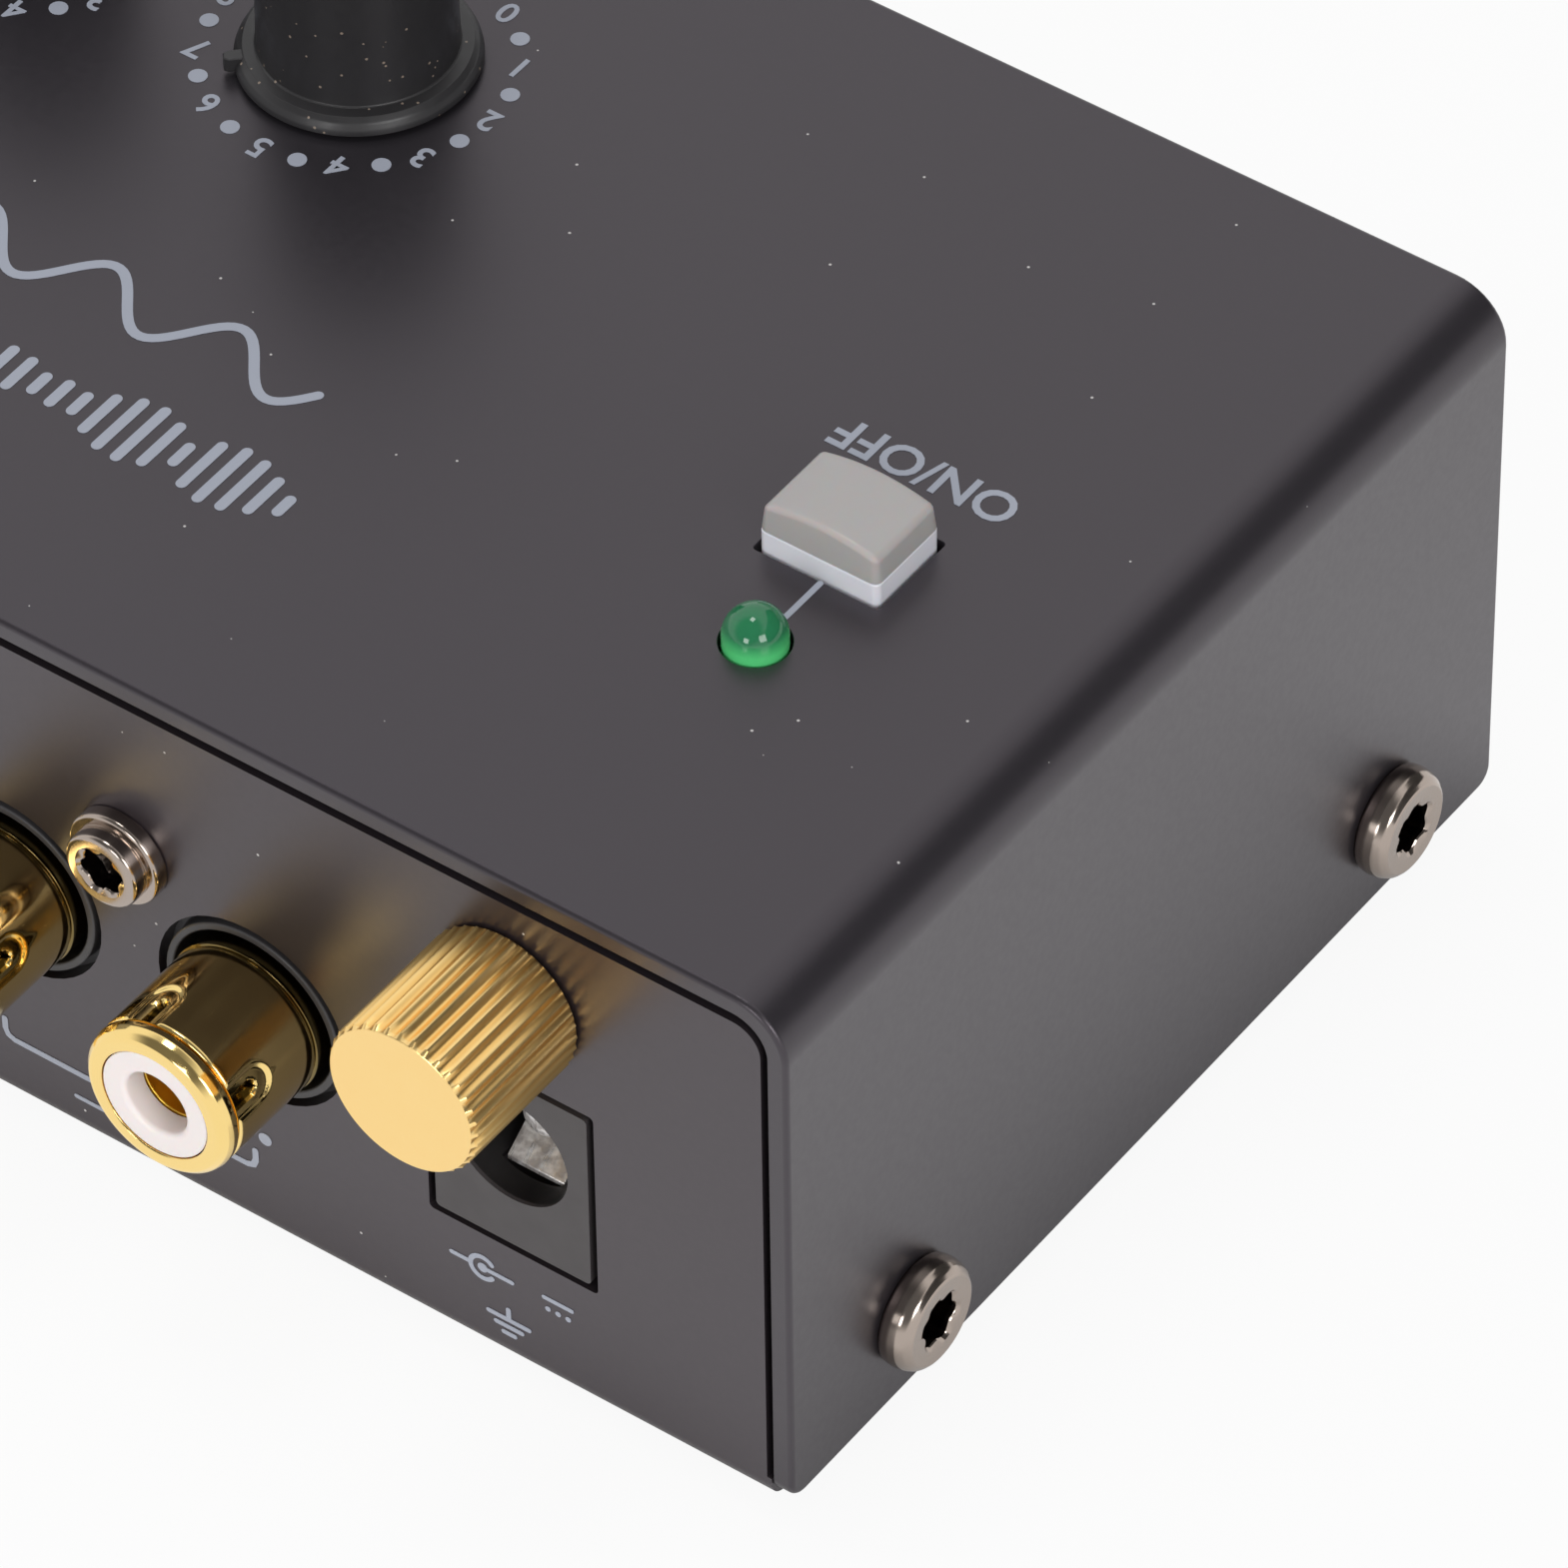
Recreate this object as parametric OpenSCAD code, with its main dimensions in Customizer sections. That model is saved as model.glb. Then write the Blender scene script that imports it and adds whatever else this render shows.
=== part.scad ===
// Phono preamplifier: a folded steel case with two dials, a push button and rear sockets.
// Millimetres. X runs to the right seen from the front, Y to the rear, Z up.
// The origin is under the middle of the case, on the surface that the feet stand on.

/* [Case] */
// Width of the cover over its side plates
case_w = 121; // [118:1:150]
// Depth of the cover
case_d = 54.8; // [53:0.2:80]
// Height of the cover, from its lower edge to its top face
case_h = 30; // [28:0.5:40]
// Sheet thickness of the cover and the chassis
sheet_t = 1; // [0.8:0.1:1.2]
// Outer radius of the cover's two long bends
cover_bend_r = 2.8; // [1.8:0.1:4]
// Radius of the lower corners of the cover's side plates
plate_corner_r = 1; // [0.5:0.1:4]
// Inner radius of the folds in the chassis
chassis_fold_r = 0.1; // [0.1:0.05:0.8]
// Width of the tabs that the side screws pull on
tab_w = 10; // [8:0.5:14]
// Metal of a tab above its screw
tab_above_screw = 3.6; // [3:0.1:4]
// Height of the wide foot of the end panels, over the chassis floor
panel_foot_h = 1.4; // [1.2:0.1:2.5]

/* [Fits] */
// Gap between the cover's side plates and the end panels
panel_gap = 0.35; // [0.2:0.05:0.5]
// Gap between the cover's top and the end panels
panel_top_gap = 0.5; // [0.2:0.05:0.6]
// Gap between the cover's side plates and the chassis floor with its tabs
floor_gap = 0.1; // [0.05:0.05:0.15]
// How far the end panels sit back from the cover's edges
panel_recess = 0; // [0:0.05:0.5]
// How far the chassis floor hangs below the cover's lower edge
floor_drop = 0.5; // [0:0.1:0.7]
// Radial clearance of a turning shaft in its bearing
running_clearance = 0.05; // [0.02:0.01:0.1]
// Radial clearance between a screw and the thread it sits in
thread_clearance = 0.04; // [0.02:0.01:0.1]
// Radial clearance of a screw in a plain hole
screw_hole_clearance = 0.2; // [0.1:0.05:0.4]
// Clearance of the button in its cut-out
button_clearance = 0.2; // [0.15:0.05:0.4]
// Gap under a knob
knob_gap = 0.25; // [0.2:0.05:0.6]
// Gap of a part that is pushed on another
press_gap = 0.02; // [0.01:0.01:0.05]
// Gap between a moving part and the fixed part beside it
moving_gap = 0.35; // [0.3:0.05:0.6]

/* [Feet] */
// Diameter of a rubber foot
foot_d = 8; // [6:0.5:12]
// Height of the cover's lower edge above the surface that the feet stand on
foot_h = 2; // [1.8:0.1:5]
// Edge radius of a rubber foot
foot_edge_r = 0.5; // [0.2:0.1:0.9]
// Distance from the case's edges to a foot's centre
foot_inset = 7.5; // [6:0.5:12]

/* [Side screws] */
// Thread diameter of the case screws
case_screw_d = 3; // [2.5:0.1:3.2]
// Head diameter of the case screws
case_screw_head_d = 5.5; // [5:0.1:6]
// Head height of the case screws
case_screw_head_h = 1.9; // [1.5:0.1:2.2]
// Shank length of the case screws
case_screw_l = 5.2; // [4.5:0.1:5.8]
// Edge radius of the case screws' heads
case_screw_edge_r = 0.45; // [0.2:0.05:0.8]
// Width over the points of the star recess
case_screw_drive_d = 2.8; // [2.2:0.1:3]
// Distance of the case screws from the cover's front and rear edges
case_screw_inset = 8.9; // [8:0.1:10]
// Height of the case screws above the cover's lower edge
case_screw_z = 4.85; // [4.4:0.05:5.5]
// Height of a clinch nut behind a tab
clinch_nut_h = 1.8; // [1.4:0.1:2.2]
// Diameter of a clinch nut
clinch_nut_d = 5; // [4.4:0.1:6]

/* [Circuit board] */
// Distance from the cover's side plates to the board's ends
board_side_gap = 6; // [5.4:0.1:8]
// Thickness of the board
board_t = 1.6; // [1.2:0.1:2]
// Height of the standoffs under the board
standoff_h = 5.2; // [4.8:0.1:5.6]
// Diameter of a standoff
standoff_d = 5; // [4.5:0.1:6]
// Distance of the front standoffs from the board's ends
standoff_end_inset = 4.5; // [4:0.1:7]
// Distance of the standoffs from the board's front and rear edges
standoff_edge_inset = 4.9; // [4:0.1:6]
// Gap between a rear standoff and the socket block beside it
rear_standoff_gap = 1; // [0.5:0.1:3]
// Distance of the board's edges from the end panels
board_edge_gap = 1; // [0.5:0.1:1.7]
// Thread diameter of the board screws
board_screw_d = 2.5; // [2:0.1:3]
// Head diameter of the board screws
board_screw_head_d = 4.6; // [4:0.1:5]
// Head height of the board screws
board_screw_head_h = 1.5; // [1.2:0.1:1.8]
// Edge radius of the board screws' heads
board_screw_edge_r = 0.9; // [0.3:0.1:1.1]
// Width over the points of the board screws' recess
board_screw_drive_d = 2; // [1.6:0.1:2.4]

/* [Phono sockets] */
// Distance between the power inlet and the screw of the socket pair beside it
rca_pair_offset = 20.8; // [20.6:0.1:21.2]
// Distance between the two sockets of a pair
rca_pitch = 13.5; // [12.5:0.1:14]
// Height of the sockets above the cover's lower edge
rca_z = 13.5; // [13:0.05:15]
// Diameter of the panel hole of a socket
rca_hole_d = 10.3; // [10:0.1:10.5]
// Radial gap between the socket block's boss and that hole
rca_boss_gap = 0.4; // [0.2:0.05:0.45]
// Diameter of the socket's barrel
rca_barrel_d = 7.9; // [7.6:0.1:8]
// Length of a barrel outside the panel
rca_length = 7; // [6.5:0.1:10]
// Length of the rim along the barrel
rca_rim_l = 0.95; // [0.8:0.05:1.4]
// Distance from the panel to the start of a barrel's dimples
rca_dimple_start = 3.4; // [2.6:0.1:4]
// Depth of the dimples
rca_dimple_depth = 0.38; // [0.2:0.02:0.5]
// Radius of the tool that presses the dimples
rca_dimple_r = 1.5; // [0.8:0.1:2]
// Diameter of the plastic insulator
rca_insulator_d = 5.7; // [5.4:0.1:5.9]
// Bore for the plug's pin
rca_pin_bore_d = 3.3; // [3:0.05:3.4]
// Depth of the socket block behind the panel
rca_block_d = 9.5; // [8:0.5:11]
// Plastic beside the outer sockets
rca_block_margin = 5.3; // [5.1:0.1:5.5]
// Height of the pair's screw above the sockets
rca_screw_rise = 6.05; // [6:0.05:7]
// Head diameter of the screw between two sockets
rca_screw_head_d = 4.9; // [4.4:0.1:5.2]
// Head height of the screw between two sockets
rca_screw_head_h = 1.7; // [1.4:0.1:2]
// Thickness of the flange under that head
rca_screw_flange_t = 0.8; // [0.5:0.1:1]
// Diameter of the head above its flange
rca_screw_crown_d = 3.9; // [3.4:0.1:4.4]
// Width over the points of that screw's recess
rca_screw_drive_d = 2.5; // [2:0.1:2.7]
// Thread diameter of the screw between two sockets
rca_screw_d = 2.6; // [2.2:0.1:3]
// Length of the screw between two sockets
rca_screw_l = 7; // [5:0.5:8]

/* [Power inlet] */
// Distance of the power inlet from the cover's side
dc_inset = 14.9; // [13.6:0.1:16]
// Width of the inlet
dc_w = 8.4; // [8:0.1:9.2]
// Height of the inlet
dc_h = 10.3; // [10:0.1:11.4]
// Length of the inlet
dc_l = 14; // [12:0.5:15]
// Gap between the inlet and its cut-out
dc_gap = 0.38; // [0.2:0.02:0.44]
// Height of the inlet's bore above the circuit board
dc_bore_rise = 6; // [5.6:0.05:6.2]
// Bore for the plug
dc_bore_d = 6.2; // [5.8:0.1:6.4]
// Depth of the bore
dc_bore_depth = 10; // [9:0.5:11]
// Diameter of the centre pin
dc_pin_d = 2.1; // [1.9:0.1:2.5]
// How far the pin's tip stands back from the mouth
dc_pin_back = 2; // [1:0.1:3]
// Width of the leaf spring in the bore
dc_leaf_w = 3.1; // [2.5:0.1:3.4]
// Thickness of the leaf spring
dc_leaf_t = 0.25; // [0.15:0.05:0.35]
// Diameter of the inlet's terminals
dc_terminal_d = 1.4; // [1:0.1:1.5]

/* [Ground terminal] */
// Distance of the ground terminal from the cover's side
ground_inset = 14.7; // [13.6:0.1:16]
// Height of the ground terminal above the cover's lower edge
ground_z = 23; // [22.8:0.05:24]
// Diameter of the fluted nut
ground_nut_d = 7.85; // [7.2:0.05:8.4]
// Length of the fluted nut
ground_nut_l = 7.5; // [7.3:0.1:10]
// Number of flutes on the nut
ground_flutes = 36; // [24:2:48]
// Depth of a flute
ground_flute_depth = 0.18; // [0.12:0.01:0.3]
// Thread diameter of the ground stud
ground_stud_d = 4; // [3:0.1:4.2]
// Length of the stud outside the panel
ground_stud_out = 6.2; // [5:0.1:6.5]
// Diameter of the captive washer
ground_washer_d = 6.4; // [5.6:0.1:6.6]
// Thickness of the captive washer
ground_washer_t = 0.5; // [0.3:0.1:0.8]
// Width across the flats of the hexagon nut inside
ground_hex_af = 7; // [6:0.1:7.4]
// Distance of the ground wire from the terminal's axis
ground_wire_reach = 7.4; // [7.2:0.1:8]
// Distance of the ground wire behind the panel
ground_wire_depth = 3.5; // [3:0.1:5]
// Diameter of the ground wire
ground_wire_d = 1.2; // [0.8:0.1:1.4]

/* [Output jack] */
// Distance of the output jack from the cover's side
trs_inset = 15.1; // [14.8:0.1:15.6]
// Width of the jack's housing
trs_w = 15; // [14:0.1:15.4]
// Height of the jack's housing
trs_h = 16; // [15:0.1:17]
// Length of the jack's housing
trs_l = 22; // [18:0.5:24]
// Height of the jack's bore above the circuit board
trs_bore_rise = 8; // [7.6:0.1:8.4]
// Bore for the plug
trs_bore_d = 6.5; // [6.4:0.05:6.6]
// Diameter of the threaded collar
trs_collar_d = 9; // [8.6:0.1:9.4]
// Length of the collar outside the panel
trs_collar_out = 4; // [3.4:0.1:6]
// Width across the flats of the collar's nut
trs_nut_af = 12; // [11:0.1:13]
// Thickness of the collar's nut
trs_nut_t = 2; // [1.5:0.1:2.4]
// Diameter of the washer under the nut
trs_washer_d = 13; // [12:0.1:14]
// Thickness of the washer under the nut
trs_washer_t = 0.6; // [0.4:0.1:0.8]
// Width of the jack's springs
trs_spring_w = 2.4; // [1.8:0.1:3]
// Thickness of the jack's springs
trs_spring_t = 0.3; // [0.2:0.05:0.4]
// Length of a spring along the bore
trs_spring_l = 3; // [2.4:0.1:3.4]
// Distance between two springs
trs_spring_pitch = 5; // [4:0.5:5.5]

/* [Dials] */
// Distance of each dial from the middle of the width
dial_x = 9.2; // [8.5:0.1:14]
// Distance of the dials from the cover's front edge
dial_inset = 16.7; // [15.5:0.1:18]
// Flange diameter of a knob
knob_flange_d = 11.4; // [10.8:0.1:13]
// Flange thickness of a knob
knob_flange_t = 0.9; // [0.8:0.1:1.6]
// How much narrower the flange is on top, on the radius
knob_flange_taper = 0.22; // [0:0.02:0.3]
// Diameter of a knob's grip at its foot
knob_foot_d = 9.3; // [8.6:0.1:10]
// Diameter of a knob's grip at its top
knob_top_d = 8.8; // [8:0.1:9.6]
// Height of a knob
knob_h = 13; // [11:0.5:18]
// Edge radius of a knob's top
knob_edge_r = 0.7; // [0.3:0.1:1.2]
// Width of the pointer on the flange
pointer_w = 0.7; // [0.6:0.1:1.4]
// How far the pointer stands out of the flange
pointer_out = 0.5; // [0.3:0.05:0.7]
// Number that the left dial points at
level_value = 6.5; // [0:0.05:10]
// Number that the right dial points at
volume_value = 5; // [0:0.05:10]
// Diameter of a potentiometer's shaft
shaft_d = 6; // [5.8:0.1:6.2]
// Flat cut off the shaft's end
shaft_flat = 1.5; // [1:0.1:2]
// Length of the shaft inside the knob
shaft_grip_l = 9; // [7:0.5:9.5]
// Width of a potentiometer
pot_w = 9.8; // [9.6:0.1:10.2]
// Depth of a potentiometer
pot_d = 11.4; // [10.8:0.1:12]
// Height of a potentiometer's case
pot_h = 6.8; // [6.4:0.1:8]
// Diameter of the potentiometer's collar
pot_collar_d = 7.4; // [7:0.1:8]
// Height of the potentiometer's collar
pot_collar_h = 2; // [1:0.1:4]

/* [Power button] */
// Distance of the button from the cover's side
button_inset = 14.65; // [13.8:0.05:16]
// Distance of the button from the cover's rear edge
button_rear_inset = 25; // [24.8:0.1:26.4]
// Size of the button across the case
button_w = 6.35; // [5.5:0.05:7.5]
// Size of the button along the depth
button_d = 4.7; // [4.2:0.1:5.2]
// Height of the button above the cover when it is up
button_out = 2.9; // [2.4:0.1:4]
// Height of the white base that shows above the cover
button_base_out = 1.1; // [0.8:0.1:1.4]
// Crown of the cap's top
button_crown = 0.45; // [0.2:0.05:0.8]
// Edge radius of the button
button_edge_r = 0.2; // [0.1:0.05:0.8]
// Travel of the button
button_travel = 1.5; // [1:0.1:1.8]
// Width of the push switch
switch_w = 7; // [6.6:0.1:8]
// Height of the push switch
switch_h = 12; // [10:0.5:13]
// Width of the switch's plunger
plunger_w = 3; // [2.6:0.1:3.4]

/* [Indicator] */
// Distance of the lamp from the cover's side
led_inset = 14.5; // [13.8:0.1:16]
// Distance of the lamp from the cover's rear edge
led_rear_inset = 17.85; // [17:0.05:18.1]
// Diameter of the lamp
led_d = 3; // [2.8:0.1:3.1]
// Height of the lamp's dome above the cover
led_out = 1.9; // [1.5:0.1:2.4]
// Length of the lamp
led_l = 5.3; // [4.8:0.1:6]
// Radial gap between the lamp and its hole
led_gap = 0.15; // [0.1:0.05:0.3]

/* [Small parts on the board] */
// Distance of the first column of capacitors from the middle of the width
column_x = 20; // [19.4:0.1:21]
// Distance between two columns of capacitors
column_pitch = 8; // [7.8:0.1:8.4]
// Distance of the front row of capacitors from the board's front edge
front_row_inset = 6.6; // [6:0.1:7.4]
// Distance of the second row of capacitors in front of the middle of the depth
second_row_y = 7.4; // [7:0.1:7.8]
// Distance of the chips behind the middle of the depth
chip_row_y = 2.2; // [1.8:0.1:2.4]
// Distance of the film capacitors in front of the socket blocks
film_row_gap = 3.3; // [2.4:0.1:3.6]
// Distance of the outer chips from the middle of the width
chip_x = 24; // [22:0.5:25]
// Length of a chip
chip_l = 9.6; // [9:0.1:10]
// Width of a chip's body
chip_w = 6.4; // [6:0.1:6.6]
// Height of a chip
chip_h = 3.6; // [3:0.1:4]
// Distance between two pins of a chip
chip_pin_pitch = 2.54; // [2.3:0.01:2.6]
// Width of a chip's pin
chip_pin_w = 0.6; // [0.4:0.1:0.8]
// Diameter of the large capacitors
large_can_d = 8; // [7:0.1:8.4]
// Height of the large capacitors
large_can_h = 12; // [10:0.5:14]
// Diameter of the small capacitors
small_can_d = 6.3; // [5:0.1:6.6]
// Height of the small capacitors
small_can_h = 11; // [9:0.5:13]
// Width of a film capacitor
film_w = 7.2; // [6:0.1:7.4]
// Thickness of a film capacitor
film_t = 2.8; // [2.2:0.1:3.4]
// Height of a film capacitor
film_h = 6.5; // [5:0.5:9]
// Gap between the two film capacitors in the middle
film_pair_gap = 1.6; // [1:0.1:3]
// Length of a resistor's body
resistor_l = 3.4; // [3:0.1:4]
// Diameter of a resistor's body
resistor_d = 2; // [1.6:0.1:2.4]
// Length of a resistor over its leads
resistor_span = 7; // [6:0.5:7]
// Distance between two resistors
resistor_pitch = 3; // [2.6:0.1:3.2]
// Width of the voltage regulator
regulator_w = 6.5; // [6:0.1:6.8]
// Depth of the voltage regulator
regulator_d = 4.4; // [4:0.1:4.8]
// Height of the voltage regulator
regulator_h = 1.8; // [1.4:0.1:2.4]
// Diameter of the choke
choke_d = 6; // [5:0.1:6.4]
// Height of the choke
choke_h = 6; // [4:0.5:9]

/* [Hidden] */
$fn = 48;
cut = 1;        // how far a cutting shape runs past the face that it cuts
bond = 1;       // how far two shapes of one piece run into each other
part_gap = 0.1; // between two fixed parts that don't press on each other

// Case planes
top_z = foot_h + case_h;
top_under_z = top_z - sheet_t;
floor_z = foot_h - floor_drop;
floor_top_z = floor_z + sheet_t;
panel_w = case_w - 2 * (sheet_t + panel_gap);
floor_w = case_w - 2 * (sheet_t + floor_gap);
panel_d = case_d - 2 * panel_recess;
panel_top_z = top_under_z - panel_top_gap;
panel_corner_r = max(cover_bend_r - sheet_t - panel_gap, 0.3);
rear_y = panel_d / 2;
rear_in_y = rear_y - sheet_t;
fold_out_r = chassis_fold_r + sheet_t;
side_x = case_w / 2;
screw_z = foot_h + case_screw_z;
case_screw_y = case_d / 2 - case_screw_inset;
screw_spots = [for (s = [-1, 1], f = [-1, 1]) [s, f * case_screw_y]];
drive_depth_share = 0.7; // depth of a star recess as a share of its head
drive_bevel = 0.15;      // bevel round a star recess

// What stands in a column near each side
dc_x = side_x - dc_inset;
ground_x = side_x - ground_inset;
trs_x = side_x - trs_inset;
rca_pair_x = dc_x - rca_pair_offset;
rca_block_w = rca_pitch + 2 * rca_block_margin;

// Circuit board
board_w = case_w - 2 * (sheet_t + board_side_gap);
board_d = panel_d - 2 * (sheet_t + board_edge_gap);
board_corner_r = 1.5;
board_z = floor_top_z + standoff_h;
board_top_z = board_z + board_t;
front_standoff_x = board_w / 2 - standoff_end_inset;
rear_standoff_x = rca_pair_x - rca_block_w / 2 - rear_standoff_gap - standoff_d / 2;
standoff_y = board_d / 2 - standoff_edge_inset;
standoff_spots = [
  for (s = [-1, 1]) [s * front_standoff_x, -standoff_y],
  for (s = [-1, 1]) [s * rear_standoff_x, standoff_y]
];
board_screw_hole_r = board_screw_d / 2 + screw_hole_clearance;
board_screw_end = 1;      // from a board screw's end to the chassis floor
board_screw_l = board_t + standoff_h - board_screw_end;
lead_r = 0.3;
lead_hole_r = 0.45;
lead_tail = 1.2;      // how far a lead reaches through the board
solder_gap = 0.2;     // radial gap round a terminal in the board

// Phono sockets
rca_axis_z = foot_h + rca_z;
rca_screw_z = rca_axis_z + rca_screw_rise;
rca_boss_r = rca_hole_d / 2 - rca_boss_gap;
rca_boss_t = 0.4;
rca_boss_in_r = rca_boss_r - rca_boss_t;
rca_collar_r = rca_barrel_d / 2 + 0.25;
rca_collar_l = 0.55;  // how far the collar reaches out of the panel
rca_groove_l = 0.35;  // length of the groove between the collar and the barrel
rca_groove_depth = 0.2;
rca_rim_groove_l = 0.2; // length of the groove between the barrel and its rim
rca_rim_groove_depth = rca_dimple_depth + 0.04; // the dimples run out into it
rca_rim_edge_r = 0.45;
rca_mouth_bevel = 0.1;
rca_insulator_back = 0.15; // how far the insulator stands back from the rim
rca_contact_back = 1.5;   // how far the contact stands back from the rim
rca_contact_floor = 1;
rca_wall_clearance = 0.05; // between the nested parts of a socket
rca_shell_in_r = rca_insulator_d / 2 + rca_wall_clearance;
rca_contact_t = 0.3;
rca_contact_r = rca_pin_bore_d / 2 + rca_contact_t;
rca_seat_depth = 5; // depth of the shell's root inside the block
rca_block_top_z = rca_axis_z + rca_block_margin;
rca_tab_r = rca_screw_d / 2 + 1.5;

// Power inlet
dc_bore_z = board_top_z + dc_bore_rise;
dc_front_y = rear_y;
dc_corner_r = 0.25;      // of the inlet and of its cut-out
dc_bore_end_y = dc_front_y - dc_bore_depth;
dc_back_y = dc_front_y - dc_l;
dc_slot_rise = 2;         // floor of the leaf's slot above the board
dc_terminal_rise = 1;     // how far a terminal reaches into the housing
dc_terminal_inset = 0.9;  // of the outer terminals, from the housing's back and side
dc_terminal_pitch = 2.8;
dc_terminal_spots = [
  [-dc_x, dc_back_y + dc_terminal_inset],
  [-dc_x, dc_back_y + dc_terminal_inset + 2 * dc_terminal_pitch],
  [-dc_x + dc_w / 2 - dc_terminal_inset, dc_back_y + dc_terminal_inset + dc_terminal_pitch]
];

// Ground terminal
ground_axis_z = foot_h + ground_z;
ground_stud_r = ground_stud_d / 2 - thread_clearance;
ground_tag_t = 0.5;
ground_hex_t = 2.4;
ground_washer_y = rear_y + running_clearance;
ground_nut_y = ground_washer_y + part_gap;
ground_bore_depth = ground_stud_out + moving_gap;
ground_stud_tail = 1;     // stud behind the inner nut
ground_stud_in_y = rear_in_y - ground_tag_t - ground_hex_t - ground_stud_tail;
ground_wire_r = ground_wire_d / 2;
ground_wire_turn_r = 1.6;
ground_wire_x = -ground_x + ground_wire_reach;
ground_wire_y = rear_in_y - ground_wire_depth;
ground_tail_w = 2.4;      // width of the solder tag's tail

// Output jack
trs_axis_z = board_top_z + trs_bore_rise;
trs_back_y = rear_in_y - trs_l;
trs_wall = 1.2;
trs_throat_l = 3;         // plain bore inside the panel before the spring chamber
trs_spring_bow = 0.5;     // how far a spring reaches into the bore's line

// Dials
scale_step = 30;          // degrees between two numbers
dial_y = case_d / 2 - dial_inset;
knob_z = top_z + knob_gap;
shaft_top_z = knob_z + shaft_grip_l;
pot_floor_t = 1.2;
pot_wall = 0.8;
pot_cover_t = 0.4;
pot_cavity_r = (pot_w - 2 * pot_wall) / 2;
pot_top_z = board_top_z + pot_h;
wiper_r = pot_cavity_r - moving_gap;
wiper_t = 0.8;
brush_w = 1.2;
wiper_z = board_top_z + pot_floor_t + moving_gap;
collar_bore_r = shaft_d / 2 + running_clearance;
cover_shaft_hole_r = shaft_d / 2 + 2 * moving_gap;
dials = [[-dial_x, level_value], [dial_x, volume_value]];

// Power button
button_x = side_x - button_inset;
button_y = case_d / 2 - button_rear_inset;
button_top_z = top_z + button_out;
button_split_z = top_z + button_base_out;
button_skirt = 1.4;       // how far the base reaches below the cover's sheet
button_base_z = top_under_z - button_skirt;
switch_top_z = board_top_z + switch_h;
plunger_seat_depth = 2;
plunger_clearance = 0.15;
switch_wall = 1;
switch_floor_t = 1.5;
spring_r = 1.3;
spring_wire_r = 0.2;
spring_turns = 5;
spring_spare = 0.5;       // left between the coils when the button is down
spring_l = button_travel + 2 * spring_turns * spring_wire_r + spring_spare;
plunger_foot_z = board_top_z + switch_floor_t + spring_l;
spring_z = board_top_z + switch_floor_t + spring_wire_r + press_gap;

// Indicator
led_x = side_x - led_inset;
led_y = case_d / 2 - led_rear_inset;
led_top_z = top_z + led_out;
led_base_z = led_top_z - led_l;
led_rim_w = 0.4;
led_rim_r = led_d / 2 + led_rim_w;
led_rim_t = 1;
led_lead_pitch = 2.54;
led_lead_spots = [for (s = [-1, 1]) [-led_x + s * led_lead_pitch / 2, led_y]];

// Small parts: columns counted outward from the middle, rows from the front
columns = [for (i = [0 : 2]) column_x + i * column_pitch];
front_row_y = front_row_inset - board_d / 2;
film_row_y = rear_in_y - rca_block_d - film_row_gap;
chip_pins = 4; // on each long side
chip_pin_h = 0.6 * chip_h;

// ---- Shared shapes ----

// Point list of an arc in degrees
function arc(cx, cy, r, a0, a1, n = 8) =
  [for (i = [0 : n]) let (a = a0 + (a1 - a0) * i / n) [cx + r * cos(a), cy + r * sin(a)]];

// Flat plate with round corners, centred
module round_rect(w, h, r) {
  square([w - 2 * r, h], center = true);
  square([w, h - 2 * r], center = true);
  for (sx = [-1, 1], sy = [-1, 1])
    translate([sx * (w / 2 - r), sy * (h / 2 - r)]) circle(r);
}

// Outline with a straight foot and two round upper corners, standing on the X axis
module arch(w, h, r) {
  translate([-w / 2, 0]) square([w, h - r]);
  translate([-w / 2 + r, 0]) square([w - 2 * r, h]);
  for (s = [-1, 1]) translate([s * (w / 2 - r), h - r]) circle(r);
}

// The same outline with its round corners below
module trough(w, h, r) {
  translate([0, h]) mirror([0, 1]) arch(w, h, r);
}

// Extrudes an XZ outline along Y, or a YZ outline along X
module along_y(l) rotate([90, 0, 0]) linear_extrude(l, center = true) children();
module along_x(l) rotate([90, 0, 90]) linear_extrude(l, center = true) children();

// Turns children so that their Z axis points out of the rear panel at x, z
module at_rear(x, z, y = rear_y) translate([x, y, z]) rotate([-90, 0, 0]) children();

// Cylinder with its lower face at z
module rod(x, y, z, r, h) translate([x, y, z]) cylinder(h = h, r = r);

// Block on the circuit board, centred on x and y
module board_block(x, y, w, d, h) translate([x - w / 2, y - d / 2, board_top_z]) cube([w, d, h]);

// Six-lobed recess of a star screw, width d over its points
module star(d) {
  circle(0.36 * d);
  for (i = [0 : 5]) rotate(60 * i) translate([0.36 * d, 0]) circle(0.14 * d);
}

// Recess of a star screw, cut into a head whose top is at z
module star_recess(z, head_h, drive_d) {
  depth = drive_depth_share * head_h;
  translate([0, 0, z - depth]) linear_extrude(depth + cut) star(drive_d);
  translate([0, 0, z - drive_bevel])
    cylinder(h = 2 * drive_bevel, r1 = drive_d / 2 - drive_bevel, r2 = drive_d / 2 + drive_bevel);
}

// Screw along +Z with its head above z = 0 and its shank below
module star_screw(d, l, head_d, head_h, edge_r, drive_d) {
  difference() {
    union() {
      rotate_extrude() polygon(concat([[0, 0], [head_d / 2, 0]],
        arc(head_d / 2 - edge_r, head_h - edge_r, edge_r, 0, 90), [[0, head_h]]));
      shank(d, l);
    }
    star_recess(head_h, head_h, drive_d);
  }
}

// Threaded shank below z = 0; it runs a little into the head
module shank(d, l) translate([0, 0, -l]) cylinder(h = l + part_gap, r = d / 2 - thread_clearance);

// ---- Case ----

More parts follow.
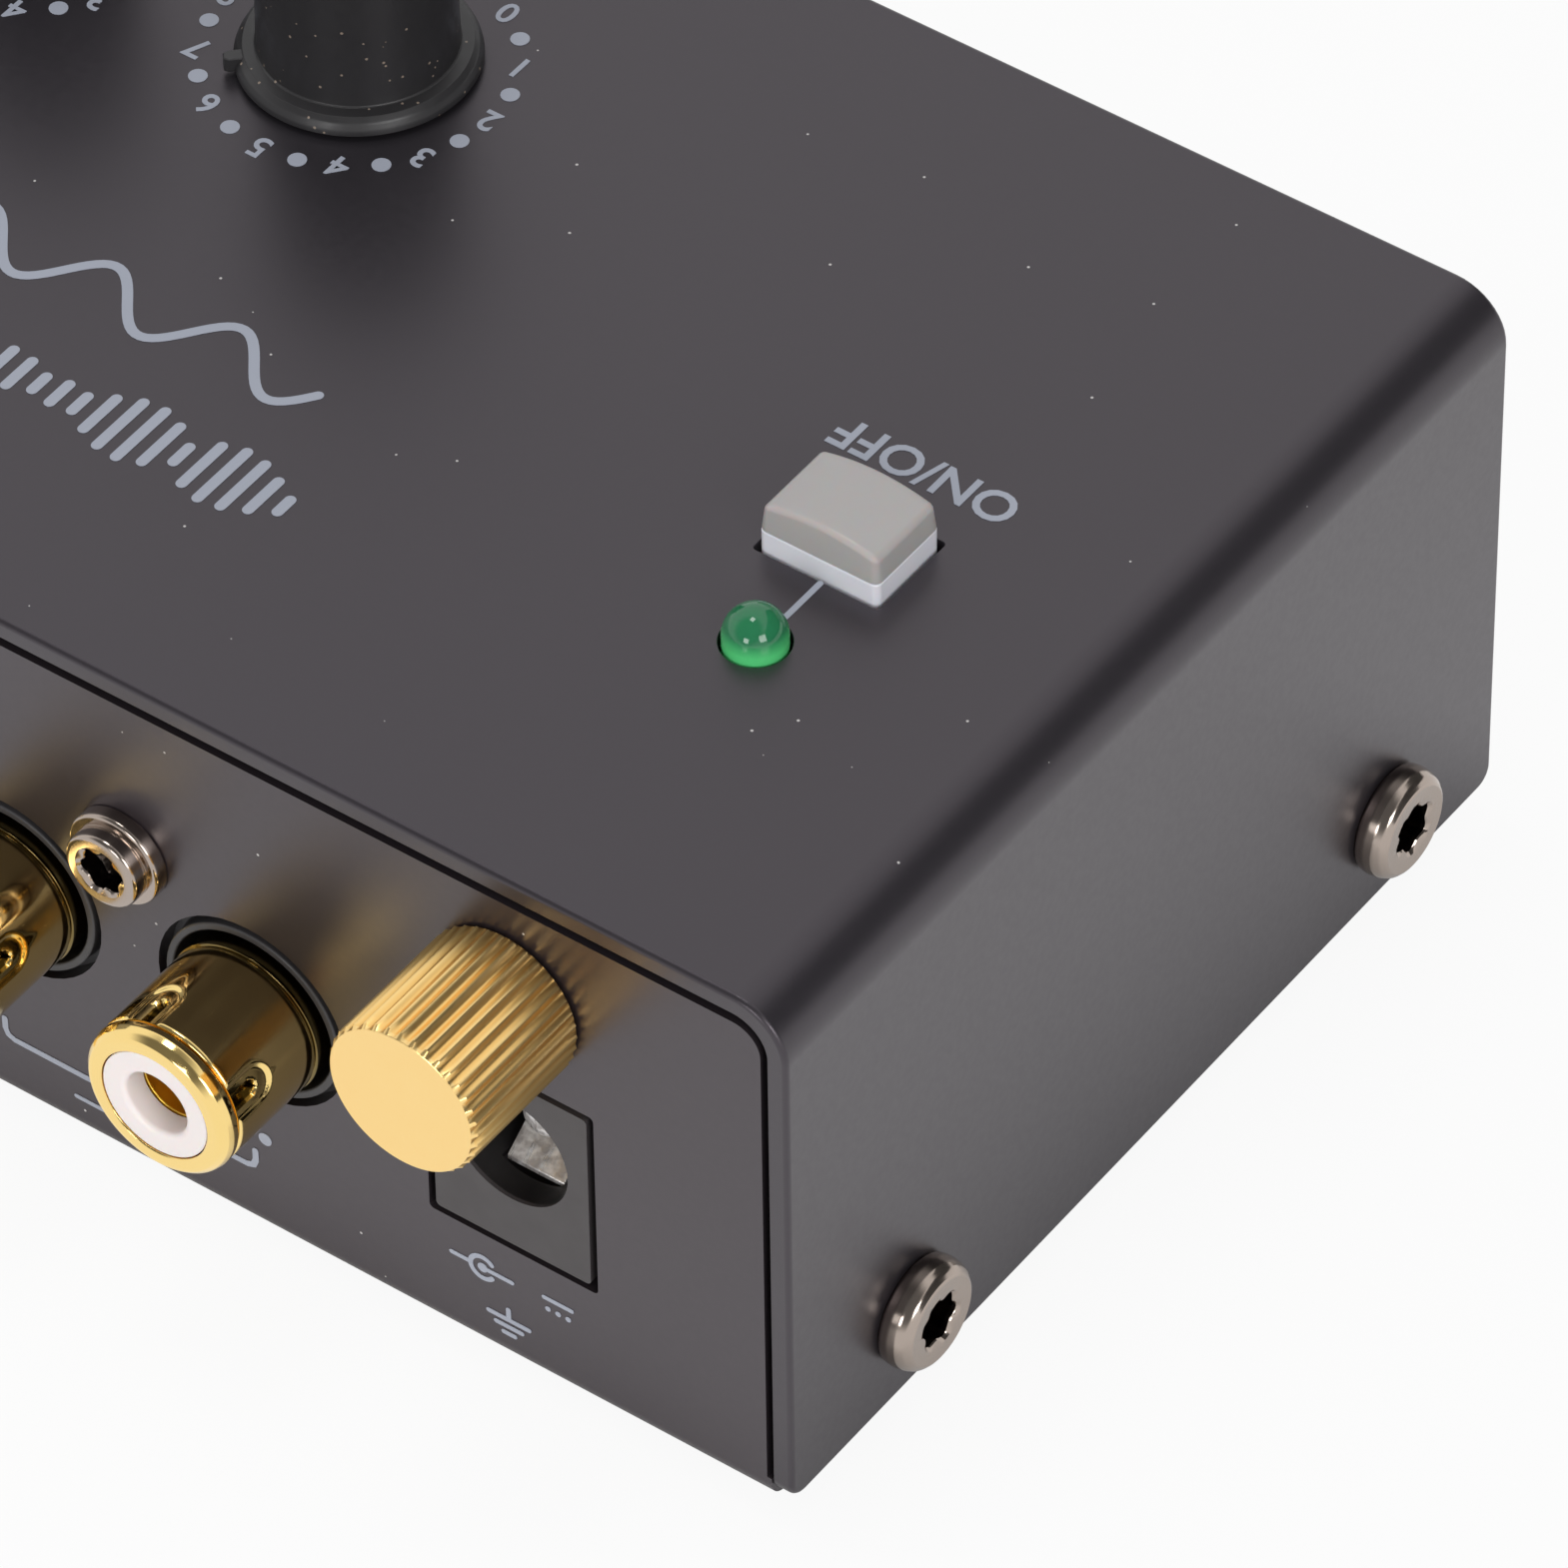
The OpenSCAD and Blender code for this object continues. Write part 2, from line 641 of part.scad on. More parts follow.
module top_cover() {
  color("#504d50") difference() {
    intersection() {
      translate([0, 0, foot_h]) along_y(case_d) arch(case_w, case_h, cover_bend_r);
      translate([0, 0, foot_h]) along_x(case_w + cut) trough(case_d, case_h + cut, plate_corner_r);
    }
    translate([0, 0, foot_h - cut])
      along_y(case_d + cut)
        arch(case_w - 2 * sheet_t, case_h - sheet_t + cut, cover_bend_r - sheet_t);
    for (dial = dials)
      rod(dial[0], -dial_y, top_under_z - cut, cover_shaft_hole_r, sheet_t + 2 * cut);
    rod(-led_x, led_y, top_under_z - cut, led_d / 2 + led_gap, sheet_t + 2 * cut);
    translate([-button_x, button_y, top_under_z - cut])
      linear_extrude(sheet_t + 2 * cut)
        round_rect(button_w + 2 * button_clearance, button_d + 2 * button_clearance, button_edge_r);
    for (y = [-1, 1] * case_screw_y)
      translate([0, y, screw_z]) rotate([0, 90, 0])
        cylinder(h = case_w + 2 * cut, r = case_screw_d / 2 + screw_hole_clearance, center = true);
  }
}

module chassis() {
  color("#585454") difference() {
    union() {
      difference() {
        intersection() {
          translate([0, 0, floor_z])
            along_x(floor_w) trough(panel_d, panel_top_z - floor_z, fold_out_r);
          translate([0, 0, floor_z]) along_y(panel_d + cut) {
            arch(panel_w, panel_top_z - floor_z, panel_corner_r);
            translate([-floor_w / 2, 0]) square([floor_w, panel_foot_h]);
          }
        }
        translate([0, 0, floor_top_z])
          along_x(floor_w + cut) trough(panel_d - 2 * sheet_t, case_h, chassis_fold_r);
      }
      for (y = [-1, 1] * case_screw_y) translate([0, y, 0]) screw_tabs();
    }
    for (y = [-1, 1] * case_screw_y)
      translate([0, y, screw_z]) rotate([0, 90, 0])
        cylinder(h = case_w, r = case_screw_d / 2 + screw_hole_clearance, center = true);
    for (s = [-1, 1]) rear_pair_holes(s * rca_pair_x);
    dc_cutout();
    at_rear(-ground_x, ground_axis_z, rear_y - sheet_t - cut)
      cylinder(h = sheet_t + 2 * cut, r = ground_stud_d / 2 + running_clearance);
    at_rear(trs_x, trs_axis_z, rear_y - sheet_t - cut)
      cylinder(h = sheet_t + 2 * cut, r = trs_collar_d / 2 + screw_hole_clearance);
  }
}

// Two tabs folded up from the floor, one at each side
module screw_tabs() {
  tab_h = screw_z + tab_above_screw - floor_z;
  difference() {
    translate([0, 0, floor_z]) along_y(tab_w) trough(floor_w, tab_h, fold_out_r);
    translate([0, 0, floor_top_z])
      along_y(tab_w + cut) trough(floor_w - 2 * sheet_t, tab_h, chassis_fold_r);
  }
}

module rear_pair_holes(x) {
  for (s = [-1, 1])
    at_rear(x + s * rca_pitch / 2, rca_axis_z, rear_y - sheet_t - cut)
      cylinder(h = sheet_t + 2 * cut, d = rca_hole_d);
  at_rear(x, rca_screw_z, rear_y - sheet_t - cut)
    cylinder(h = sheet_t + 2 * cut, r = rca_screw_d / 2 + screw_hole_clearance);
}

module dc_cutout() {
  translate([-dc_x, rear_y - sheet_t / 2, board_top_z + dc_h / 2])
    along_y(sheet_t + 2 * cut)
      round_rect(dc_w + 2 * dc_gap, dc_h + 2 * dc_gap, dc_corner_r);
}

module side_screws() {
  for (spot = screw_spots)
    translate([spot[0] * side_x, spot[1], screw_z]) rotate([0, spot[0] * 90, 0])
      color("#968a80") star_screw(case_screw_d, case_screw_l, case_screw_head_d,
        case_screw_head_h, case_screw_edge_r, case_screw_drive_d);
}

module clinch_nuts() {
  for (spot = screw_spots)
    translate([spot[0] * (floor_w / 2 - sheet_t), spot[1], screw_z])
      rotate([0, -spot[0] * 90, 0])
        color("#b8b8b4") difference() {
          cylinder(h = clinch_nut_h, d = clinch_nut_d);
          translate([0, 0, -cut]) cylinder(h = clinch_nut_h + 2 * cut, d = case_screw_d);
        }
}

module feet() {
  for (sx = [-1, 1], sy = [-1, 1])
    translate([sx * (case_w / 2 - foot_inset), sy * (case_d / 2 - foot_inset), 0])
      color("#1c1c1d") rotate_extrude() polygon(concat(
        [[0, 0], [foot_d / 2 - foot_edge_r, 0]],
        arc(foot_d / 2 - foot_edge_r, foot_edge_r, foot_edge_r, -90, 0, 6),
        [[foot_d / 2, floor_z], [0, floor_z]]));
}

// ---- Circuit board ----

module main_board() {
  color("#1f5a36") difference() {
    translate([0, 0, board_z]) linear_extrude(board_t) round_rect(board_w, board_d, board_corner_r);
    for (spot = standoff_spots)
      rod(spot[0], spot[1], board_z - cut, board_screw_hole_r, board_t + 2 * cut);
    for (lead = led_lead_spots)
      rod(lead[0], lead[1], board_z - cut, lead_hole_r, board_t + 2 * cut);
    for (spot = dc_terminal_spots)
      rod(spot[0], spot[1], board_z - cut, dc_terminal_d / 2 + solder_gap, board_t + 2 * cut);
    rod(ground_wire_x, ground_wire_y, board_z - cut, ground_wire_r + solder_gap, board_t + 2 * cut);
  }
}

module board_standoffs() {
  for (spot = standoff_spots)
    color("#b8b8b4") difference() {
      rod(spot[0], spot[1], floor_top_z, standoff_d / 2, standoff_h);
      rod(spot[0], spot[1], floor_top_z - cut, board_screw_d / 2, standoff_h + 2 * cut);
    }
}

module board_screws() {
  for (spot = standoff_spots)
    translate([spot[0], spot[1], board_top_z])
      color("#8f8b86") star_screw(board_screw_d, board_screw_l, board_screw_head_d,
        board_screw_head_h, board_screw_edge_r, board_screw_drive_d);
}

// ---- Phono sockets ----

module rca_block(x) {
  w = rca_block_w;
  color("#2e2d2f") difference() {
    union() {
      translate([x - w / 2, rear_in_y - rca_block_d, board_top_z])
        cube([w, rca_block_d, rca_block_top_z - board_top_z]);
      at_rear(x, rca_screw_z, rear_in_y - rca_block_d) cylinder(h = rca_block_d, r = rca_tab_r);
      translate([x - rca_tab_r, rear_in_y - rca_block_d, rca_block_top_z - bond])
        cube([2 * rca_tab_r, rca_block_d, rca_screw_z - rca_block_top_z + bond]);
      for (s = [-1, 1])
        at_rear(x + s * rca_pitch / 2, rca_axis_z, rear_in_y - bond)
          cylinder(h = sheet_t + bond, r = rca_boss_r);
    }
    for (s = [-1, 1]) {
      at_rear(x + s * rca_pitch / 2, rca_axis_z, rear_in_y - rca_seat_depth)
        cylinder(h = rca_seat_depth + 2 * cut, r = rca_boss_in_r);
      at_rear(x + s * rca_pitch / 2, rca_axis_z, rear_in_y - rca_block_d - cut)
        cylinder(h = rca_block_d, r = rca_contact_r + rca_wall_clearance);
    }
    at_rear(x, rca_screw_z, rear_in_y - rca_block_d - cut)
      cylinder(h = rca_block_d + 2 * cut, r = rca_screw_d / 2);
  }
}

module rca_shells(x) {
  for (s = [-1, 1])
    at_rear(x + s * rca_pitch / 2, rca_axis_z) color("#d8b765") rca_shell();
}

// Gold barrel along +Z, panel face at z = 0; three dimples grip the insulator
module rca_shell() {
  r = rca_barrel_d / 2;
  groove_r = r - rca_groove_depth;
  rim_groove_r = r - rca_rim_groove_depth;
  root = -sheet_t - rca_seat_depth;
  groove_z = rca_collar_l + rca_groove_l;
  rim_z = rca_length - rca_rim_l;
  difference() {
    rotate_extrude() polygon(concat(
      [[rca_shell_in_r, root], [rca_collar_r, root], [rca_collar_r, rca_collar_l],
       [groove_r, rca_collar_l], [groove_r, groove_z], [r, groove_z],
       [r, rim_z - rca_rim_groove_l], [rim_groove_r, rim_z - rca_rim_groove_l],
       [rim_groove_r, rim_z], [r, rim_z]],
      arc(r - rca_rim_edge_r, rca_length - rca_rim_edge_r, rca_rim_edge_r, 0, 90, 6),
      [[rca_shell_in_r + rca_mouth_bevel, rca_length],
       [rca_shell_in_r, rca_length - rca_mouth_bevel]]));
    for (a = [20, 110, 200, 290]) rotate(a) dimple(r, rim_z - rca_rim_groove_l / 2);
  }
}

// Groove along the barrel, round at its inner end and open toward the rim
module dimple(r, end_z) {
  ramp = sqrt(2 * rca_dimple_r * rca_dimple_depth);
  start_z = rca_dimple_start + ramp;
  translate([r + rca_dimple_r - rca_dimple_depth, 0, start_z]) {
    sphere(rca_dimple_r);
    cylinder(h = end_z - start_z, r = rca_dimple_r);
  }
}

module rca_insulators(x) {
  for (s = [-1, 1])
    at_rear(x + s * rca_pitch / 2, rca_axis_z) color("#eee6e6") rca_insulator();
}

module rca_insulator() {
  root = -sheet_t - rca_seat_depth;
  face_z = rca_length - rca_insulator_back;
  bore_r = rca_contact_r + rca_wall_clearance;
  lip_z = rca_length - rca_contact_back + part_gap;
  edge = 0.05;
  mouth_r = 0.2;
  rotate_extrude() polygon(concat(
    [[bore_r, root], [rca_insulator_d / 2, root], [rca_insulator_d / 2, face_z - edge],
     [rca_insulator_d / 2 - edge, face_z]],
    arc(rca_pin_bore_d / 2 + mouth_r, face_z - mouth_r, mouth_r, 90, 180, 4),
    [[rca_pin_bore_d / 2, lip_z], [bore_r, lip_z]]));
}

module rca_contacts(x) {
  for (s = [-1, 1])
    at_rear(x + s * rca_pitch / 2, rca_axis_z) color("#e6a63a") rca_contact();
}

module rca_contact() {
  length = rca_length - rca_contact_back + sheet_t + rca_block_d;
  translate([0, 0, -sheet_t - rca_block_d]) difference() {
    cylinder(h = length, r = rca_contact_r);
    translate([0, 0, rca_contact_floor]) cylinder(h = length, d = rca_pin_bore_d);
  }
}

module rca_input_block() rca_block(-rca_pair_x);
module rca_input_shells() rca_shells(-rca_pair_x);
module rca_input_insulators() rca_insulators(-rca_pair_x);
module rca_input_contacts() rca_contacts(-rca_pair_x);
module rca_output_block() rca_block(rca_pair_x);
module rca_output_shells() rca_shells(rca_pair_x);
module rca_output_insulators() rca_insulators(rca_pair_x);
module rca_output_contacts() rca_contacts(rca_pair_x);

module rca_panel_screws() {
  for (s = [-1, 1])
    at_rear(s * rca_pair_x, rca_screw_z) color("#b3aca6") rca_panel_screw();
}

// Screw with a round crown on a flange
module rca_panel_screw() {
  flange_r = rca_screw_head_d / 2;
  flange_edge_r = rca_screw_flange_t / 2;
  crown_r = rca_screw_crown_d / 2;
  crown_edge_r = rca_screw_head_h - rca_screw_flange_t - part_gap;
  difference() {
    union() {
      rotate_extrude() polygon(concat([[0, 0], [flange_r, 0]],
        arc(flange_r - flange_edge_r, flange_edge_r, flange_edge_r, 0, 90, 6),
        [[crown_r, rca_screw_flange_t]],
        arc(crown_r - crown_edge_r, rca_screw_head_h - crown_edge_r, crown_edge_r, 0, 90, 6),
        [[0, rca_screw_head_h]]));
      shank(rca_screw_d, rca_screw_l);
    }
    star_recess(rca_screw_head_h, rca_screw_head_h, rca_screw_drive_d);
  }
}

// ---- Power inlet ----

module dc_jack_housing() {
  slot_w = dc_leaf_w + 2 * part_gap;
  color("#565356") difference() {
    translate([-dc_x, dc_front_y - dc_l / 2, board_top_z + dc_h / 2])
      along_y(dc_l) round_rect(dc_w, dc_h, dc_corner_r);
    at_rear(-dc_x, dc_bore_z, dc_bore_end_y) cylinder(h = dc_bore_depth + cut, d = dc_bore_d);
    at_rear(-dc_x, dc_bore_z, dc_back_y - cut)
      cylinder(h = dc_l, r = dc_pin_d / 2 + running_clearance);
    for (spot = dc_terminal_spots)
      rod(spot[0], spot[1], board_top_z - cut, dc_terminal_d / 2 + part_gap,
        dc_terminal_rise + cut);
    translate([-dc_x - slot_w / 2, dc_bore_end_y + 0.5, board_top_z + dc_slot_rise])
      cube([slot_w, dc_bore_depth - 2, dc_bore_rise - dc_slot_rise]);
  }
}

module dc_jack_pin() {
  length = dc_l - dc_pin_back;
  tip_r = dc_pin_d / 4;
  at_rear(-dc_x, dc_bore_z, dc_back_y) color("#c8c8c6") rotate_extrude()
    polygon(concat([[0, 0], [dc_pin_d / 2, 0]],
      arc(dc_pin_d / 2 - tip_r, length - tip_r, tip_r, 0, 90, 5), [[0, length]]));
}

// Bent leaf that presses on the plug from below
module dc_jack_leaf() {
  t = dc_leaf_t;
  seat_z = board_top_z + dc_slot_rise + part_gap;
  pin_under_z = dc_bore_z - dc_pin_d / 2;
  gap = 0.35; // from the pin above and the bore's wall below
  low_z = dc_bore_z - dc_bore_d / 2 + gap;
  crest_z = pin_under_z - gap;
  crest_l = 2.2;
  front_y = dc_front_y - 1.75;
  crest_y = front_y - 1.8;
  back_y = dc_bore_end_y + 1;
  color("#b9b9b6") translate([-dc_x, 0, 0]) along_x(dc_leaf_w) polygon([
    [back_y, seat_z], [back_y, seat_z + t], [crest_y - crest_l, crest_z], [crest_y, crest_z],
    [front_y, low_z], [front_y, low_z - t], [crest_y - t / 2, crest_z - t],
    [crest_y - crest_l + t / 2, crest_z - t], [back_y + t, seat_z]
  ]);
}

module dc_jack_terminals() {
  for (spot = dc_terminal_spots)
    color("#c8c8c6") rod(spot[0], spot[1], board_z - lead_tail, dc_terminal_d / 2,
      board_t + lead_tail + dc_terminal_rise);
}

// ---- Ground terminal ----

module ground_stud() {
  at_rear(-ground_x, ground_axis_z, ground_stud_in_y)
    color("#c79a45") cylinder(h = rear_y - ground_stud_in_y + ground_stud_out, r = ground_stud_r);
}

module ground_stud_nut() {
  at_rear(-ground_x, ground_axis_z, rear_in_y - ground_tag_t - ground_hex_t)
    color("#c79a45") difference() {
      cylinder(h = ground_hex_t, d = ground_hex_af / cos(30), $fn = 6);
      translate([0, 0, -cut]) cylinder(h = ground_hex_t + 2 * cut, d = ground_stud_d);
    }
}

// Solder tag between the nut and the panel, with a tail toward the wire
module ground_tag() {
  at_rear(-ground_x, ground_axis_z, rear_in_y - ground_tag_t)
    color("#c8c8c6") difference() {
      union() {
        cylinder(h = ground_tag_t, d = ground_hex_af);
        translate([0, -ground_tail_w / 2, 0])
          cube([ground_wire_reach, ground_tail_w, ground_tag_t]);
        translate([ground_wire_reach, 0, 0]) cylinder(h = ground_tag_t, d = ground_tail_w);
      }
      translate([0, 0, -cut])
        cylinder(h = ground_tag_t + 2 * cut, r = ground_stud_d / 2 + running_clearance);
    }
}

// Stiff wire from the tag down to the board
module ground_wire() {
  turn_r = ground_wire_turn_r;
  start_y = rear_in_y - ground_tag_t;
  color("#2f7d3b") {
    translate([ground_wire_x, start_y, ground_axis_z]) rotate([90, 0, 0])
      cylinder(h = start_y - ground_wire_y - turn_r, r = ground_wire_r);
    translate([ground_wire_x, ground_wire_y + turn_r, ground_axis_z - turn_r])
      rotate([90, 0, 90]) rotate([0, 0, 90])
        rotate_extrude(angle = 90) translate([turn_r, 0]) circle(ground_wire_r);
    rod(ground_wire_x, ground_wire_y, board_z - lead_tail, ground_wire_r,
      ground_axis_z - turn_r - board_z + lead_tail);
  }
}

module ground_washer() {
  at_rear(-ground_x, ground_axis_z, ground_washer_y) color("#d9b25c") difference() {
    cylinder(h = ground_washer_t, d = ground_washer_d);
    translate([0, 0, -cut])
      cylinder(h = ground_washer_t + 2 * cut, r = ground_stud_d / 2 + running_clearance);
  }
}

module ground_nut() {
  r = ground_nut_d / 2;
  chamfer = ground_flute_depth;
  at_rear(-ground_x, ground_axis_z, ground_nut_y) color("#e6bd62") difference() {
    intersection() {
      linear_extrude(ground_nut_l) fluted_outline(r, ground_flutes, ground_flute_depth);
      rotate_extrude() polygon([[0, 0], [r - chamfer, 0], [r, chamfer],
        [r, ground_nut_l - chamfer], [r - chamfer, ground_nut_l], [0, ground_nut_l]]);
    }
    translate([0, 0, -cut]) cylinder(h = ground_bore_depth + cut, d = ground_stud_d);
    translate([0, 0, -cut])
      cylinder(h = ground_washer_t + cut, r = ground_washer_d / 2 + part_gap);
  }
}

// Closed outline with n pointed flutes
module fluted_outline(r, n, depth)
  polygon([for (i = [0 : 2 * n - 1])
    let (a = 180 * i / n, q = i % 2 == 0 ? r : r - depth) [q * cos(a), q * sin(a)]]);

// ---- Output jack ----

module trs_jack_housing() {
  color("#1d1d1f") difference() {
    union() {
      translate([trs_x - trs_w / 2, trs_back_y, board_top_z]) cube([trs_w, trs_l, trs_h]);
      at_rear(trs_x, trs_axis_z, rear_in_y - bond)
        cylinder(h = sheet_t + trs_collar_out + bond, d = trs_collar_d);
    }
    at_rear(trs_x, trs_axis_z, trs_back_y + trs_wall)
      cylinder(h = trs_l + sheet_t + trs_collar_out, d = trs_bore_d);
    translate([trs_x - trs_w / 2 + trs_wall, trs_back_y + trs_wall, board_top_z + trs_wall])
      cube([trs_w - 2 * trs_wall, trs_l - trs_wall - trs_throat_l, trs_h - 2 * trs_wall]);
  }
}

module trs_jack_washer() {
  at_rear(trs_x, trs_axis_z) color("#c8c8c6") difference() {
    cylinder(h = trs_washer_t, d = trs_washer_d);
    translate([0, 0, -cut])
      cylinder(h = trs_washer_t + 2 * cut, r = trs_collar_d / 2 + screw_hole_clearance);
  }
}

module trs_jack_nut() {
  flat_r = trs_nut_af / 2;
  corner_r = flat_r + 0.8;
  chamfer = 0.5;
  at_rear(trs_x, trs_axis_z, rear_y + trs_washer_t) color("#c8c8c6") difference() {
    intersection() {
      cylinder(h = trs_nut_t, d = trs_nut_af / cos(30), $fn = 6);
      rotate_extrude() polygon([[0, 0], [corner_r, 0], [corner_r, trs_nut_t - chamfer],
        [flat_r + part_gap, trs_nut_t], [0, trs_nut_t]]);
    }
    translate([0, 0, -cut])
      cylinder(h = trs_nut_t + 2 * cut, r = trs_collar_d / 2 + thread_clearance);
  }
}

// Tip, ring and sleeve springs: leaves on the chamber's floor that rise toward the bore
module trs_jack_springs() {
  t = trs_spring_t;
  half = trs_spring_l / 2;
  seat_z = board_top_z + trs_wall;
  crest_z = trs_axis_z - trs_bore_d / 2 + trs_spring_bow;
  first_y = trs_back_y + trs_wall + half + 1;
  for (i = [0 : 2])
    color("#c8c8c6") translate([trs_x, first_y + i * trs_spring_pitch, 0])
      along_x(trs_spring_w) polygon([
        [-half, seat_z], [half, seat_z], [half, seat_z + t], [t - half, seat_z + t],
        [0, crest_z - t], [half, crest_z - 4 * t], [half, crest_z - 3 * t],
        [0, crest_z], [-half / 3, crest_z - t], [-half, seat_z + t]
      ]);
}

// ---- Dials ----

module pot_case(x) {
  color("#8a5a33") difference() {
    board_block(x, -dial_y, pot_w, pot_d, pot_h - pot_cover_t);
    rod(x, -dial_y, board_top_z + pot_floor_t, pot_cavity_r, pot_h);
  }
}

// Metal cover with a collar that carries the shaft
module pot_cover(x) {
  z = pot_top_z - pot_cover_t;
  color("#b9bab8") difference() {
    union() {
      translate([x - pot_w / 2, -dial_y - pot_d / 2, z]) cube([pot_w, pot_d, pot_cover_t]);
      rod(x, -dial_y, z, pot_collar_d / 2, pot_cover_t + pot_collar_h);
    }
    rod(x, -dial_y, z - cut, collar_bore_r, pot_cover_t + pot_collar_h + 2 * cut);
  }
}

module pot_shaft(x, value) {
  z0 = wiper_z + wiper_t;
  color("#c4c5c6") difference() {
    rod(x, -dial_y, z0, shaft_d / 2, shaft_top_z - z0);
    translate([x, -dial_y, knob_z]) rotate(pointer_angle(value))
      translate([-shaft_d, shaft_d / 2 - shaft_flat, 0])
        cube([2 * shaft_d, shaft_d, shaft_grip_l + cut]);
  }
}

module pot_wiper(x, value) {
  color("#d0b070") union() {
    rod(x, -dial_y, wiper_z, wiper_r, wiper_t);
    translate([x, -dial_y, wiper_z - moving_gap + running_clearance]) rotate(pointer_angle(value))
      translate([-brush_w / 2, wiper_r - 1.5 * brush_w, 0])
        cube([brush_w, brush_w, moving_gap + wiper_t / 2]);
  }
}

// Angle from the rear, counter-clockwise seen from above, of a number on the scale
function pointer_angle(value) = (5 - value) * scale_step;

// Knob with a flange and a pointer; its bore keeps the shaft's flat
module knob(x, value) {
  flange_r = knob_flange_d / 2;
  foot_r = knob_foot_d / 2;
  top_r = knob_top_d / 2;
  flange_top_r = flange_r - knob_flange_taper;
  flange_edge = 0.08;
  blend_r = 0.5;
  grip_z = knob_flange_t + blend_r;
  dish_w = 1.2; // rim round the shallow dish in the top
  dish_depth = 0.25;
  mark_w = pointer_w - 0.2;
  color("#232224") translate([x, -dial_y, knob_z]) rotate(pointer_angle(value)) difference() {
    union() {
      rotate_extrude() polygon(concat(
        [[0, 0], [flange_r - flange_edge, 0], [flange_r, flange_edge],
         [flange_top_r, knob_flange_t - flange_edge], [flange_top_r - flange_edge, knob_flange_t]],
        arc(foot_r + blend_r, grip_z, blend_r, 270, 180, 5),
        arc(top_r - knob_edge_r, knob_h - knob_edge_r, knob_edge_r, 0, 90, 6),
        [[top_r - dish_w, knob_h], [top_r - dish_w - dish_depth, knob_h - dish_depth],
         [0, knob_h - dish_depth]]));
      translate([-pointer_w / 2, foot_r, 0])
        cube([pointer_w, flange_r - foot_r + pointer_out, knob_flange_t - flange_edge]);
      translate([-mark_w / 2, top_r - dish_w, knob_h - 2 * dish_depth])
        cube([mark_w, dish_w / 2, 2 * dish_depth]);
    }
    difference() {
      translate([0, 0, -cut])
        cylinder(h = shaft_grip_l + cut + press_gap, r = shaft_d / 2 + press_gap);
      translate([-shaft_d, shaft_d / 2 - shaft_flat + press_gap, press_gap])
        cube([2 * shaft_d, shaft_d, shaft_grip_l + cut]);
    }
  }
}

module level_pot_case() pot_case(dials[0][0]);
module level_pot_cover() pot_cover(dials[0][0]);
module level_pot_shaft() pot_shaft(dials[0][0], dials[0][1]);
module level_pot_wiper() pot_wiper(dials[0][0], dials[0][1]);
module level_knob() knob(dials[0][0], dials[0][1]);
module volume_pot_case() pot_case(dials[1][0]);
module volume_pot_cover() pot_cover(dials[1][0]);
module volume_pot_shaft() pot_shaft(dials[1][0], dials[1][1]);
module volume_pot_wiper() pot_wiper(dials[1][0], dials[1][1]);
module volume_knob() knob(dials[1][0], dials[1][1]);

// ---- Power button ----

module power_switch_case() {
  inner = switch_w - 2 * switch_wall;
  lid_t = 1.2;
  color("#26262a") difference() {
    board_block(-button_x, button_y, switch_w, switch_w, switch_h);
    translate([-button_x - inner / 2, button_y - inner / 2, board_top_z + switch_floor_t])
      cube([inner, inner, switch_h - switch_floor_t - lid_t]);
    translate([-button_x, button_y, switch_top_z - lid_t - cut]) linear_extrude(lid_t + 2 * cut)
      square(plunger_w + 2 * plunger_clearance, center = true);
  }
}

// Return spring as a swept helix
module power_switch_spring() {
  sides = 8;
  steps = 16;
  height = plunger_foot_z - spring_z - spring_wire_r - press_gap;
  count = spring_turns * steps;
  path = [for (i = [0 : count])
    [spring_r * cos(360 * i / steps), spring_r * sin(360 * i / steps), height * i / count]];
  points = [for (i = [0 : count], k = [0 : sides - 1])
    let (a = 360 * i / steps, b = 360 * k / sides, q = spring_r + spring_wire_r * cos(b))
      [q * cos(a), q * sin(a), path[i][2] + spring_wire_r * sin(b)]];
  walls = [for (i = [0 : count - 1], k = [0 : sides - 1])
    let (n = (k + 1) % sides, a = sides * i, b = a + sides) [a + k, a + n, b + n, b + k]];
  ends = [[for (k = [sides - 1 : -1 : 0]) k], [for (k = [0 : sides - 1]) sides * count + k]];
  color("#c8c8c6") translate([-button_x, button_y, spring_z])
    polyhedron(points = points, faces = concat(walls, ends), convexity = 8);
}

// Plunger with a wide foot that stays inside the switch
module power_switch_plunger() {
  foot_w = switch_w - 2 * switch_wall - 2 * moving_gap;
  foot_t = 1.5;
  color("#e4e4e8") union() {
    translate([-button_x - plunger_w / 2, button_y - plunger_w / 2, plunger_foot_z])
      cube([plunger_w, plunger_w, button_base_z + plunger_seat_depth - plunger_foot_z]);
    translate([-button_x - foot_w / 2, button_y - foot_w / 2, plunger_foot_z])
      cube([foot_w, foot_w, foot_t]);
  }
}

// White base of the button, pushed over the plunger
module power_button_base() {
  socket_w = plunger_w + 2 * press_gap;
  color("#e4e4ee") difference() {
    translate([-button_x, button_y, button_base_z]) linear_extrude(button_split_z - button_base_z)
      round_rect(button_w, button_d, button_edge_r);
    translate([-button_x - socket_w / 2, button_y - socket_w / 2, button_base_z - cut])
      cube([socket_w, socket_w, plunger_seat_depth + cut + press_gap]);
  }
}

